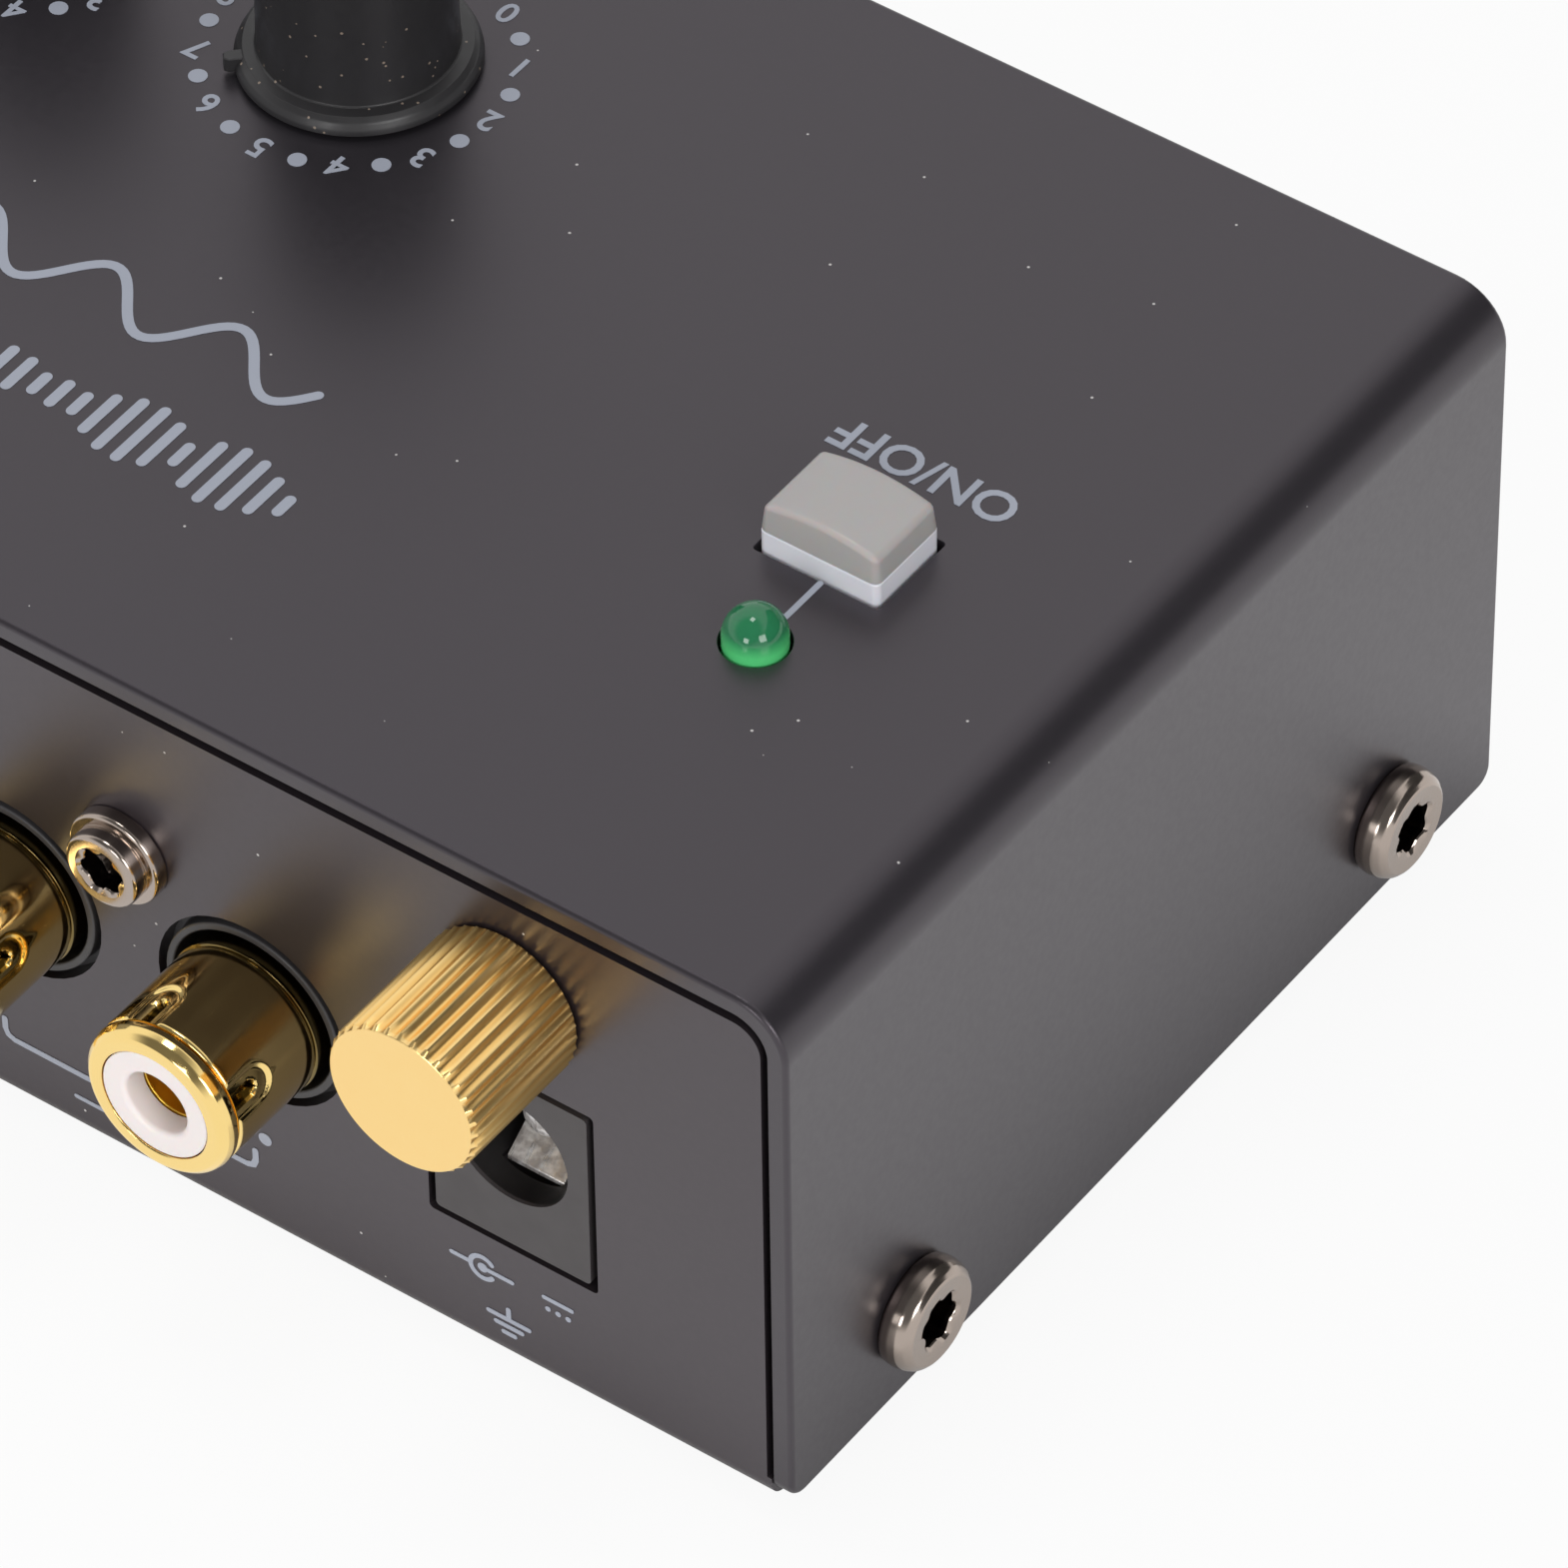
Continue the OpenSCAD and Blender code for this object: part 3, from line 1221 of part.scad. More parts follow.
// Grey cap with a cylindrical crown
module power_button_cap() {
  cap_h = button_top_z - button_split_z;
  crown_r = (pow(button_w / 2, 2) + pow(button_crown, 2)) / (2 * button_crown);
  color("#a5a29f") intersection() {
    translate([-button_x, button_y, button_split_z]) linear_extrude(cap_h)
      round_rect(button_w, button_d, button_edge_r);
    translate([-button_x, button_y, button_top_z - crown_r]) rotate([90, 0, 0])
      cylinder(h = button_d + 2 * cut, r = crown_r, center = true, $fn = 200);
  }
}

// ---- Indicator ----

module led_lens() {
  r = led_d / 2;
  translate([-led_x, led_y, led_base_z]) color("#1c8a4a") rotate_extrude() polygon(concat(
    [[0, 0], [led_rim_r, 0], [led_rim_r, led_rim_t], [r, led_rim_t]],
    arc(0, led_l - r, r, 0, 90, 10)));
}

module led_spacer() {
  color("#2a2a2c") difference() {
    rod(-led_x, led_y, board_top_z, led_rim_r, led_base_z - board_top_z);
    for (lead = led_lead_spots)
      rod(lead[0], lead[1], board_top_z - cut, lead_hole_r, led_base_z - board_top_z + 2 * cut);
  }
}

module led_leads() {
  for (lead = led_lead_spots)
    color("#c8c8c6") rod(lead[0], lead[1], board_z - lead_tail, lead_r,
      led_base_z - board_z + lead_tail);
}

// ---- Small parts on the board ----

module opamp_chips() {
  pin_row = (chip_w + chip_pin_w) / 2;
  first_pin = -(chip_pins - 1) * chip_pin_pitch / 2;
  for (x = [-chip_x, 0, chip_x]) color("#1a1a1c") {
    board_block(x, chip_row_y, chip_l, chip_w, chip_h);
    for (i = [0 : chip_pins - 1], s = [-1, 1])
      board_block(x + first_pin + i * chip_pin_pitch, chip_row_y + s * pin_row,
        chip_pin_w, chip_pin_w, chip_pin_h);
  }
}

// Upright cans: a large one in each front row, the rest small; the choke has one can's place
module electrolytic_capacitors() {
  for (s = [-1, 1]) color("#25304f") {
    rod(s * columns[0], front_row_y, board_top_z, large_can_d / 2, large_can_h);
    for (i = [1, 2])
      rod(s * columns[i], front_row_y, board_top_z, small_can_d / 2, small_can_h);
    rod(s * columns[1], -second_row_y, board_top_z, small_can_d / 2, small_can_h);
  }
  color("#25304f") rod(columns[2], -second_row_y, board_top_z, small_can_d / 2, small_can_h);
}

module film_capacitors() {
  middle_x = (film_w + film_pair_gap) / 2;
  for (x = [-columns[0], -middle_x, middle_x, columns[0], columns[1]])
    color("#9c2f2a") board_block(x, film_row_y, film_w, film_t, film_h);
}

// Resistors lie on the board as small round bodies with a lead at each end
module resistors() {
  half = resistor_pitch / 2;
  for (s = [-1, 1]) {
    for (x = [columns[0] - half, columns[0] + half]) resistor(s * x, -second_row_y);
    for (i = [-1, 0, 1]) resistor(s * (chip_x / 2 + i * resistor_pitch), chip_row_y);
    resistor(s * half, front_row_y);
  }
}

module resistor(x, y) {
  color("#7fb0c8") translate([x, y, board_top_z + resistor_d / 2]) rotate([90, 0, 0]) {
    cylinder(h = resistor_l, d = resistor_d, center = true);
    cylinder(h = resistor_span, r = lead_r, center = true);
  }
}

module voltage_regulator() {
  color("#1a1a1c") board_block(-columns[1], film_row_y, regulator_w, regulator_d, regulator_h);
}

module input_choke() {
  color("#3a3a3c") rod(-columns[2], -second_row_y, board_top_z, choke_d / 2, choke_h);
}

top_cover();
chassis();
side_screws();
clinch_nuts();
feet();
main_board();
board_standoffs();
board_screws();
rca_input_block();
rca_input_shells();
rca_input_insulators();
rca_input_contacts();
rca_output_block();
rca_output_shells();
rca_output_insulators();
rca_output_contacts();
rca_panel_screws();
dc_jack_housing();
dc_jack_pin();
dc_jack_leaf();
dc_jack_terminals();
ground_stud();
ground_stud_nut();
ground_tag();
ground_wire();
ground_washer();
ground_nut();
trs_jack_housing();
trs_jack_washer();
trs_jack_nut();
trs_jack_springs();
level_pot_case();
level_pot_cover();
level_pot_shaft();
level_pot_wiper();
level_knob();
volume_pot_case();
volume_pot_cover();
volume_pot_shaft();
volume_pot_wiper();
volume_knob();
power_switch_case();
power_switch_spring();
power_switch_plunger();
power_button_base();
power_button_cap();
led_lens();
led_spacer();
led_leads();
opamp_chips();
electrolytic_capacitors();
film_capacitors();
resistors();
voltage_regulator();
input_choke();
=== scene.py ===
"""Looks of a small phono preamplifier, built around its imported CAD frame."""

import math

import bmesh
import bpy
import numpy as np
from mathutils import Matrix, Vector


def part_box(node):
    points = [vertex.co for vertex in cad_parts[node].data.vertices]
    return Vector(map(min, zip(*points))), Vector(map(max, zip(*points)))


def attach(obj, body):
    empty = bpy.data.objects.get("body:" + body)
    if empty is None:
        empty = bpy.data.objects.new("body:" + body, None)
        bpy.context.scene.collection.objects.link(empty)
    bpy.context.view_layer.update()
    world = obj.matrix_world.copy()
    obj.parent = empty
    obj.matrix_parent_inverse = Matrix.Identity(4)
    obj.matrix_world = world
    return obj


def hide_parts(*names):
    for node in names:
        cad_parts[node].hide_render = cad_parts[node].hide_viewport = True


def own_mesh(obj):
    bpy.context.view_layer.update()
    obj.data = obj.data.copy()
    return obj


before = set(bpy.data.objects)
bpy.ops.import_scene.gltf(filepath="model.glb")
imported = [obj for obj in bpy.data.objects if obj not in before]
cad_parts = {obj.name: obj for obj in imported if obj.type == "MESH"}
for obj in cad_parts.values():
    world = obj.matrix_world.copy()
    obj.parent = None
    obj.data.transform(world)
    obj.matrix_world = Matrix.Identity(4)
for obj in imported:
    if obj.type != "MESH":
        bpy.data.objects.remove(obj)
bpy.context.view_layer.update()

MM = 0.001
CASE = "case"


# ---- Places in millimetres, read from the frame where it has them ----

def box_mm(node):
    lo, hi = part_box(node)
    return lo / MM, hi / MM


def mid_mm(node):
    lo, hi = box_mm(node)
    return (lo + hi) / 2


COVER_LO, COVER_HI = box_mm("top_cover")
TOP_Z = COVER_HI.z
FOOT_H = COVER_LO.z
REAR_Y = box_mm("chassis")[1].y

LEVEL_X = mid_mm("level_pot_wiper").x
VOLUME_X = -LEVEL_X
DIAL_Y = mid_mm("level_pot_case").y
KNOB_Z = box_mm("level_knob")[0].z
LEVEL_MARK, VOLUME_MARK = 6.5, 5   # where the dials point on their scales
MARK_STEP = 30                     # degrees between two numbers of a scale

LED = mid_mm("led_lens")
LED_LO, LED_HI = box_mm("led_lens")
BUTTON_LO, BUTTON_HI = box_mm("power_button_base")
CAP_LO, CAP_HI = box_mm("power_button_cap")
BUTTON = (BUTTON_LO + BUTTON_HI) / 2

NUT = mid_mm("ground_stud")
NUT_LO, NUT_HI = box_mm("ground_nut")
NUT_R = 3.92
DC_PIN = mid_mm("dc_jack_pin")
DC_X = mid_mm("dc_jack_housing").x
TRS_X = mid_mm("trs_jack_housing").x

INPUT_X = mid_mm("rca_input_block").x
RCA_HALF_PITCH = 6.75
RCA_Z = mid_mm("rca_input_shells").z
PANEL_SCREW_Z = mid_mm("rca_panel_screws").z
SIDE_SCREW_LO, SIDE_SCREW_HI = box_mm("side_screws")
SIDE_SCREW_R = 2.75
SIDE_SCREW_YS = (SIDE_SCREW_LO.y + SIDE_SCREW_R, SIDE_SCREW_HI.y - SIDE_SCREW_R)
SIDE_SCREW_Z = SIDE_SCREW_LO.z + SIDE_SCREW_R


def mark_angle(mark):
    """Degrees from the rear, counter-clockwise seen from above; 5 is at the rear."""
    return (5 - mark) * MARK_STEP


# ---- Materials ----

def srgb(r, g, b):
    """Linear colour from 8-bit display values."""
    def one(v):
        v /= 255
        return v / 12.92 if v <= 0.04045 else ((v + 0.055) / 1.055) ** 2.4
    return (one(r), one(g), one(b), 1.0)


def grey(v):
    return (v, v, v, 1.0)


def scaled(color, k):
    return tuple(min(c * k, 1.0) for c in color[:3]) + (1.0,)


class Graph:
    """Adds and wires the nodes of one node tree."""

    def __init__(self, tree):
        self.tree = tree

    def node(self, kind, links=(), **values):
        made = self.tree.nodes.new(kind)
        for key, value in values.items():
            setattr(made, key, value)
        for socket, source in dict(links).items():
            if isinstance(source, bpy.types.NodeSocket):
                self.tree.links.new(source, made.inputs[socket])
            else:
                made.inputs[socket].default_value = source
        return made

    def math(self, operation, a, b=0.0):
        return self.node("ShaderNodeMath", {0: a, 1: b}, operation=operation).outputs[0]

    def ramp(self, source, low, high, lowest=0.0, highest=1.0, **values):
        links = {0: source, 1: low, 2: high, 3: lowest, 4: highest}
        return self.node("ShaderNodeMapRange", links, **values).outputs[0]

    def mix(self, factor, a, b):
        made = self.node("ShaderNodeMix", {0: factor, 6: a, 7: b}, data_type="RGBA")
        return made.outputs[2]

    def seen_by(self, camera_share, mirror_share):
        """One share for camera rays, one for glossy and transmission rays, else 0."""
        path = self.node("ShaderNodeLightPath").outputs
        mirror = self.math("MAXIMUM", path["Is Glossy Ray"], path["Is Transmission Ray"])
        return self.math("MAXIMUM", self.math("MULTIPLY", path["Is Camera Ray"], camera_share),
                         self.math("MULTIPLY", mirror, mirror_share))


class Shader(Graph):
    """One Principled material."""

    def __init__(self, name, **sockets):
        self.material = bpy.data.materials.new(name)
        self.material.use_nodes = True
        super().__init__(self.material.node_tree)
        self.bsdf = self.tree.nodes["Principled BSDF"]
        for key, value in sockets.items():
            self.bsdf.inputs[key.replace("_", " ")].default_value = value
        self.coord = self.node("ShaderNodeTexCoord").outputs["Object"]

    def color(self, source):
        self.tree.links.new(source, self.bsdf.inputs["Base Color"])

    def rough(self, source):
        self.tree.links.new(source, self.bsdf.inputs["Roughness"])

    def bump(self, source, distance):
        made = self.node("ShaderNodeBump", {"Height": source, "Distance": distance,
                                            "Strength": 1.0})
        self.tree.links.new(made.outputs[0], self.bsdf.inputs["Normal"])

    def noise(self, scale, detail=2.0, stretch=None):
        coord = self.coord
        if stretch:
            coord = self.node("ShaderNodeMapping", {0: coord, 3: stretch}).outputs[0]
        made = self.node("ShaderNodeTexNoise", {"Vector": coord, "Scale": scale,
                                                "Detail": detail})
        return made.outputs["Fac"]

    def place(self, axis):
        """One coordinate of the surface point, in metres."""
        split = self.node("ShaderNodeSeparateXYZ", {0: self.coord})
        return split.outputs["XYZ".index(axis)]

    def off_axis(self, a, b, at_a, at_b):
        """Distance in metres from a line through (at_a, at_b), given in millimetres."""
        da = self.math("SUBTRACT", a, at_a * MM)
        db = self.math("SUBTRACT", b, at_b * MM)
        square = self.math("ADD", self.math("MULTIPLY", da, da), self.math("MULTIPLY", db, db))
        return self.math("SQRT", square)

    def within(self, distance, radius, depth, limit):
        """1 where distance is under radius and depth under limit, both in millimetres."""
        near = self.math("LESS_THAN", distance, radius * MM)
        deep = self.math("LESS_THAN", depth, limit * MM)
        return self.math("MULTIPLY", near, deep)

    def specks(self, size, cell, share):
        """0 or 1: sparse round specks, size and cell in metres."""
        made = self.node("ShaderNodeTexVoronoi", {"Vector": self.coord, "Scale": 1 / cell})
        near = self.math("LESS_THAN", made.outputs["Distance"], size / cell)
        split = self.node("ShaderNodeSeparateColor", {0: made.outputs["Color"]})
        return self.math("MULTIPLY", near, self.math("LESS_THAN", split.outputs[0], share))


# Painted shade: where dark(shader) says so, a colour keeps only this share.
RECESS_SHADE = 0.2   # share of a colour that is left where a recess holds no light


def plain(name, color, rough, tint=0.06, grain=900.0, bump=0.0, rough_step=0.04,
          dust=None, dark=None, **sockets):
    """Colour and roughness with a little noise; optional bump depth in metres and dust.
    dark(shader) says where painted shade darkens the colour: in a recess that holds no light,
    and on the socket barrels' roots."""
    s = Shader(name, Roughness=rough, **sockets)
    wide = s.noise(60.0, 3.0)
    fine = s.noise(grain)
    tone = s.mix(wide, scaled(color, 1 - tint), scaled(color, 1 + tint))
    if dust:
        size, cell, share, shade = dust
        tone = s.mix(s.specks(size, cell, share), tone, shade)
    if dark:
        # Painted shade in recesses and on the socket barrels' roots
        tone = s.mix(dark(s), tone, scaled(color, RECESS_SHADE))
    s.color(tone)
    s.rough(s.ramp(fine, 0.3, 0.7, rough - rough_step, rough + rough_step))
    if bump:
        s.bump(fine, bump)
    return s.material


# Size and cell of the specks in metres, share of the cells that hold one, colour
FINE_DUST = (0.00007, 0.0012, 0.12, srgb(190, 188, 186))
KNOB_DUST = (0.00007, 0.0005, 0.5, srgb(134, 120, 108))


def paint(name, color):
    return plain(name, color, 0.36, tint=0.05, grain=2600.0, bump=0.000002,
                 rough_step=0.03, dust=FINE_DUST, Specular_IOR_Level=0.5,
                 Specular_Tint=(1.0, 0.84, 0.98, 1.0), Coat_Weight=0.42,
                 Coat_Roughness=0.34)


def metal(name, color, rough, **more):
    return plain(name, color, rough, Metallic=1.0, **more)


# Radius of each kind of recess, and the height up to which it holds no light and gets painted
# shade, mm
SIDE_RECESS_R, SIDE_RECESS_TOP = 1.4, SIDE_SCREW_HI.x - 0.65
PANEL_RECESS_R, PANEL_RECESS_TOP = 1.24, REAR_Y + 1.5
INLET_RECESS_R, INLET_RECESS_TOP = 3.3, REAR_Y - 0.2
TONGUE_PIT_R, TONGUE_PIT_TOP = 3.62, REAR_Y + 6.0
# Height of the socket barrels' roots, under which the shells get painted shade, mm
SOCKET_ROOT_TOP = REAR_Y + 0.6


def screw_recess_painted_shade(s):
    """Painted shade in the drive recesses of the side screws and of the rear screws."""
    x, y = (s.math("ABSOLUTE", s.place(axis)) for axis in "XY")
    z = s.place("Z")
    side = s.within(s.off_axis(y, z, SIDE_SCREW_YS[1], SIDE_SCREW_Z),
                    SIDE_RECESS_R, x, SIDE_RECESS_TOP)
    rear = s.within(s.off_axis(x, z, abs(INPUT_X), PANEL_SCREW_Z),
                    PANEL_RECESS_R, y, PANEL_RECESS_TOP)
    return s.math("MAXIMUM", side, rear)


# Painted shade inside the power inlet's bore, beyond its first 0.2 mm.
def inlet_bore_painted_shade(s):
    return s.within(s.off_axis(s.place("X"), s.place("Z"), DC_PIN.x, DC_PIN.z),
                    INLET_RECESS_R, s.place("Y"), INLET_RECESS_TOP)


def socket_painted_shade(s):
    """Where the socket barrels get painted shade: the openings at the ends of the tongues
    pressed into the barrels, and the barrels' roots in the panel."""
    x = s.math("ABSOLUTE", s.place("X"))
    x = s.math("ABSOLUTE", s.math("SUBTRACT", x, abs(INPUT_X) * MM))
    pits = s.within(s.off_axis(x, s.place("Z"), RCA_HALF_PITCH, RCA_Z),
                    TONGUE_PIT_R, s.place("Y"), TONGUE_PIT_TOP)
    # painted shade on the barrels near the panel
    roots = s.math("LESS_THAN", s.place("Y"), SOCKET_ROOT_TOP * MM)
    return s.math("MAXIMUM", pits, roots)


def nut_gold():
    """Turned brass, with painted highlights making the face and the ridges lighter, and painted
    shade leaving a deeper gold in the flutes.
    """
    s = Shader("terminal_brass", Metallic=1.0, Roughness=0.33)
    lines = s.noise(5200.0, 1.0, (1.0, 0.05, 1.0))
    around = s.off_axis(s.place("X"), s.place("Z"), NUT.x, NUT.z)
    # Painted highlight on the ridges' crests and on the face; the flutes get painted shade as a
    # deeper gold.
    ridge_highlight = s.ramp(around, (NUT_R - 0.15) * MM, (NUT_R - 0.02) * MM)
    face = s.ramp(s.place("Y"), (NUT_HI.y - 0.25) * MM, (NUT_HI.y - 0.2) * MM)
    painted_highlight = s.math("MAXIMUM", ridge_highlight, face)
    painted_highlight = s.math("MULTIPLY", painted_highlight, s.ramp(s.noise(900.0, 3.0), 0.2, 0.8, 0.88, 1.0))
    s.color(s.mix(painted_highlight, (0.95, 0.60, 0.20, 1.0), (0.985, 0.70, 0.29, 1.0)))
    s.rough(s.ramp(lines, 0.3, 0.7, 0.31, 0.36))
    side = s.math("SUBTRACT", 1.0, face)
    s.bump(s.math("MULTIPLY", lines, side), 0.0000015)
    return s.material


def lens_green():
    """Clear green resin, with painted light low down, where light gathers at the rim."""
    s = Shader("led_green", Roughness=0.03, IOR=1.5, Transmission_Weight=0.35)
    # Painted light: the lowest millimetre of the lens is coloured a bright green.
    low = s.ramp(s.place("Z"), (TOP_Z + 0.35) * MM, (TOP_Z + 1.05) * MM, 1.0, 0.0)
    body = s.mix(s.noise(700.0), (0.024, 0.23, 0.098, 1.0), (0.034, 0.28, 0.12, 1.0))
    s.color(s.mix(low, body, (0.16, 1.0, 0.34, 1.0)))
    return s.material


def tin_leaf():
    """Scratched and mottled tin-plated spring."""
    s = Shader("contact_tin", Metallic=0.65, Roughness=0.34)
    streaks = s.noise(3800.0, 3.0, (1.0, 0.12, 0.12))
    spots = s.noise(1700.0, 4.0)
    s.color(s.mix(s.ramp(spots, 0.40, 0.60), (0.55, 0.52, 0.505, 1.0), (1.0, 0.98, 0.97, 1.0)))
    s.rough(s.ramp(streaks, 0.3, 0.7, 0.24, 0.46))
    s.bump(spots, 0.00005)
    return s.material


MATERIALS = {
    "case_paint": paint("case_paint", (0.0180, 0.0165, 0.0195, 1)),
    "chassis_paint": paint("chassis_paint", (0.0190, 0.0150, 0.0175, 1)),
    "screw_nickel": metal("screw_nickel", (0.42, 0.355, 0.31, 1), 0.16, bump=0.000001,
                          dark=screw_recess_painted_shade),
    "zinc_steel": metal("zinc_steel", (0.62, 0.62, 0.60, 1), 0.32, bump=0.000003),
    "foot_rubber": plain("foot_rubber", (0.012, 0.012, 0.012, 1), 0.75, bump=0.00001),
    "circuit_board": plain("circuit_board", (0.012, 0.085, 0.032, 1), 0.4, tint=0.15),
    "socket_plastic": plain("socket_plastic", (0.045, 0.043, 0.046, 1), 0.45,
                            bump=0.000004),
    "socket_gold": metal("socket_gold", (0.95, 0.70, 0.27, 1), 0.10, tint=0.03,
                         rough_step=0.03, dark=socket_painted_shade),
    "socket_white": plain("socket_white", srgb(238, 229, 227), 0.38, tint=0.02,
                          bump=0.000003, Subsurface_Weight=0.15, Subsurface_Scale=0.0006),
    "contact_gold": metal("contact_gold", (0.97, 0.66, 0.10, 1), 0.3),
    "inlet_plastic": plain("inlet_plastic", (0.046, 0.040, 0.042, 1), 0.42,
                           bump=0.000003, dust=FINE_DUST, dark=inlet_bore_painted_shade),
    "contact_tin": tin_leaf(),
    "terminal_brass": nut_gold(),
    "wire_green": plain("wire_green", (0.02, 0.16, 0.04, 1), 0.45),
    "jack_black": plain("jack_black", (0.014, 0.014, 0.015, 1), 0.38, bump=0.000004),
    "pot_base": plain("pot_base", (0.25, 0.11, 0.04, 1), 0.55, tint=0.15),
    "pot_metal": metal("pot_metal", (0.60, 0.60, 0.58, 1), 0.35),
    "shaft_alloy": metal("shaft_alloy", (0.66, 0.66, 0.66, 1), 0.28),
    "wiper_brass": metal("wiper_brass", (0.90, 0.60, 0.20, 1), 0.3),
    "knob_plastic": plain("knob_plastic", (0.0235, 0.0225, 0.0240, 1), 0.38, tint=0.1,
                          bump=0.000004, grain=1800.0, dust=KNOB_DUST),
    "switch_black": plain("switch_black", (0.016, 0.016, 0.018, 1), 0.45),
    "spring_steel": metal("spring_steel", (0.55, 0.55, 0.55, 1), 0.3),
    "button_white": plain("button_white", srgb(232, 232, 240), 0.35, tint=0.015,
                          bump=0.000002, Subsurface_Weight=0.1, Subsurface_Scale=0.0005),
    "button_grey": plain("button_grey", srgb(174, 171, 170), 0.34, tint=0.02,
                         bump=0.000002, Subsurface_Weight=0.5, Subsurface_Scale=0.0008),
    "led_green": lens_green(),
    "chip_black": plain("chip_black", (0.012, 0.012, 0.013, 1), 0.5),
    "capacitor_sleeve": plain("capacitor_sleeve", (0.018, 0.03, 0.08, 1), 0.3),
    "film_red": plain("film_red", (0.30, 0.02, 0.015, 1), 0.3),
    "resistor_blue": plain("resistor_blue", (0.19, 0.40, 0.55, 1), 0.35),
}
INK = plain("print_ink", srgb(160, 165, 178), 0.5, tint=0.05, bump=0.000002)


# ---- Meshes ----

def at(x, y, z):
    return Matrix.Translation((x, y, z))


def out_of_rear(x, z, y=None):
    """Local Z points out of the rear panel."""
    return at(x, REAR_Y if y is None else y, z) @ Matrix.Rotation(math.radians(-90), 4, "X")


def turned(degrees):
    return Matrix.Rotation(math.radians(degrees), 4, "Z")


# Distances in metres within which points are one, and how far apart flat faces may turn
SAME_END, SAME_POINT, FLAT_ANGLE = 1e-7, 2e-6, math.radians(0.6)


def add_grid(bm, rings, place, closed_ends=True):
    """Skins rings of points, given in millimetres, with quads; caps both ends."""
    rows = [[bm.verts.new(place @ Vector(p) * MM) for p in ring] for ring in rings]
    n = len(rows[0])
    for low, high in zip(rows, rows[1:]):
        for i in range(n):
            j = (i + 1) % n
            bm.faces.new((low[i], low[j], high[j], high[i]))
    if closed_ends:
        bm.faces.new(list(reversed(rows[0])))
        bm.faces.new(rows[-1])


def add_tube(bm, rings, place):
    """Like add_grid, with the last ring joined to the first."""
    add_grid(bm, rings + [rings[0]], place, closed_ends=False)
    bmesh.ops.remove_doubles(bm, verts=bm.verts, dist=SAME_END)


def add_prism(bm, outline, z0, z1, place):
    add_grid(bm, [[(x, y, z) for x, y in outline] for z in (z0, z1)], place)


def lathe_rings(profile, n, wave=None):
    """Rings for a turned shape; wave(angle, r, z) may change the radius."""
    angles = [2 * math.pi * i / n for i in range(n)]
    rings = []
    for r, z in profile:
        row = [(wave(a, r, z) if wave else r) for a in angles]
        rings.append([(q * math.cos(a), q * math.sin(a), z) for q, a in zip(row, angles)])
    return rings


def rounded(corners, steps):
    """Open outline through points (r, z), or (r, z, corner radius) where it turns softly."""
    out = [corners[0][:2]]
    for before, here, after in zip(corners, corners[1:], corners[2:]):
        b = Vector(here[:2])
        u, v = Vector(before[:2]) - b, Vector(after[:2]) - b
        turn = math.pi - u.angle(v, 0.0)
        radius = here[2] if len(here) > 2 else 0
        if not radius or turn < 0.05:
            out.append(here[:2])
            continue
        back = min(radius * math.tan(turn / 2), 0.45 * u.length, 0.45 * v.length)
        p, q = b + u.normalized() * back, b + v.normalized() * back
        for i in range(steps + 1):
            t = i / steps
            out.append(tuple((1 - t) ** 2 * p + 2 * t * (1 - t) * b + t * t * q))
    out.append(corners[-1][:2])
    return out


def dense(profile, step, start=-math.inf, end=math.inf):
    """Outline with extra points, so that no stretch between the heights start and end
    is longer than step."""
    out = [profile[0]]
    for a, b in zip(profile, profile[1:]):
        inside = start <= min(a[1], b[1]) and max(a[1], b[1]) <= end
        k = max(1, math.ceil(math.dist(a, b) / step)) if inside else 1
        out += [tuple(np.array(a) + (np.array(b) - np.array(a)) * i / k)
                for i in range(1, k + 1)]
    return out


def finished(name, bm, slot, body, replaced=(), angle=32, material=None):
    """Makes the piece from bm: material, smoothing, body and the nodes it stands for.
    Edges over angle, in degrees, stay sharp."""
    bmesh.ops.recalc_face_normals(bm, faces=bm.faces)
    mesh = bpy.data.meshes.new(name)
    bm.to_mesh(mesh)
    bm.free()
    mesh.polygons.foreach_set("use_smooth", [True] * len(mesh.polygons))
    mesh.set_sharp_from_angle(angle=math.radians(angle))
    mesh.materials.append(material or MATERIALS[slot])
    obj = bpy.data.objects.new(name, mesh)
    bpy.context.scene.collection.objects.link(obj)
    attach(obj, body)
    if replaced:
        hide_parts(*replaced)
    return obj


def copied(node):
    """The node's mesh as a clean bmesh with flat faces joined."""
    bm = bmesh.new()
    bm.from_mesh(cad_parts[node].data)
    bmesh.ops.remove_doubles(bm, verts=bm.verts, dist=SAME_POINT)
    bmesh.ops.dissolve_limit(bm, angle_limit=FLAT_ANGLE, verts=bm.verts, edges=bm.edges)
    return bm


def dressed(node, slot, width):
    """The CAD node with small rounded edges."""
    obj = finished(node + "_dressed", copied(node), slot, CASE, [node], 40)
    add_bevel(obj, width, 40)


def add_bevel(obj, width, over):
    """Rounds the edges over this angle in degrees."""
    bevel = obj.modifiers.new("edges", "BEVEL")
    bevel.width = width * MM
    bevel.segments = 2
    bevel.limit_method = "ANGLE"
    bevel.angle_limit = math.radians(over)
    bevel.use_clamp_overlap = True
    even = obj.modifiers.new("even", "WEIGHTED_NORMAL")
    even.weight = 90
    even.keep_sharp = True


# ---- Screws ----

THREAD_PITCH = 0.5
HEAD_SIDES, SHANK_SIDES = 96, 32
LOBE = 0.1   # share of the recess's radius by which its six lobes swing


def star(d):
    """Radius of a six-lobed recess of width d over its points."""
    return lambda a, r, z: r * (1 - LOBE + LOBE * math.cos(6 * a)) * d / 2


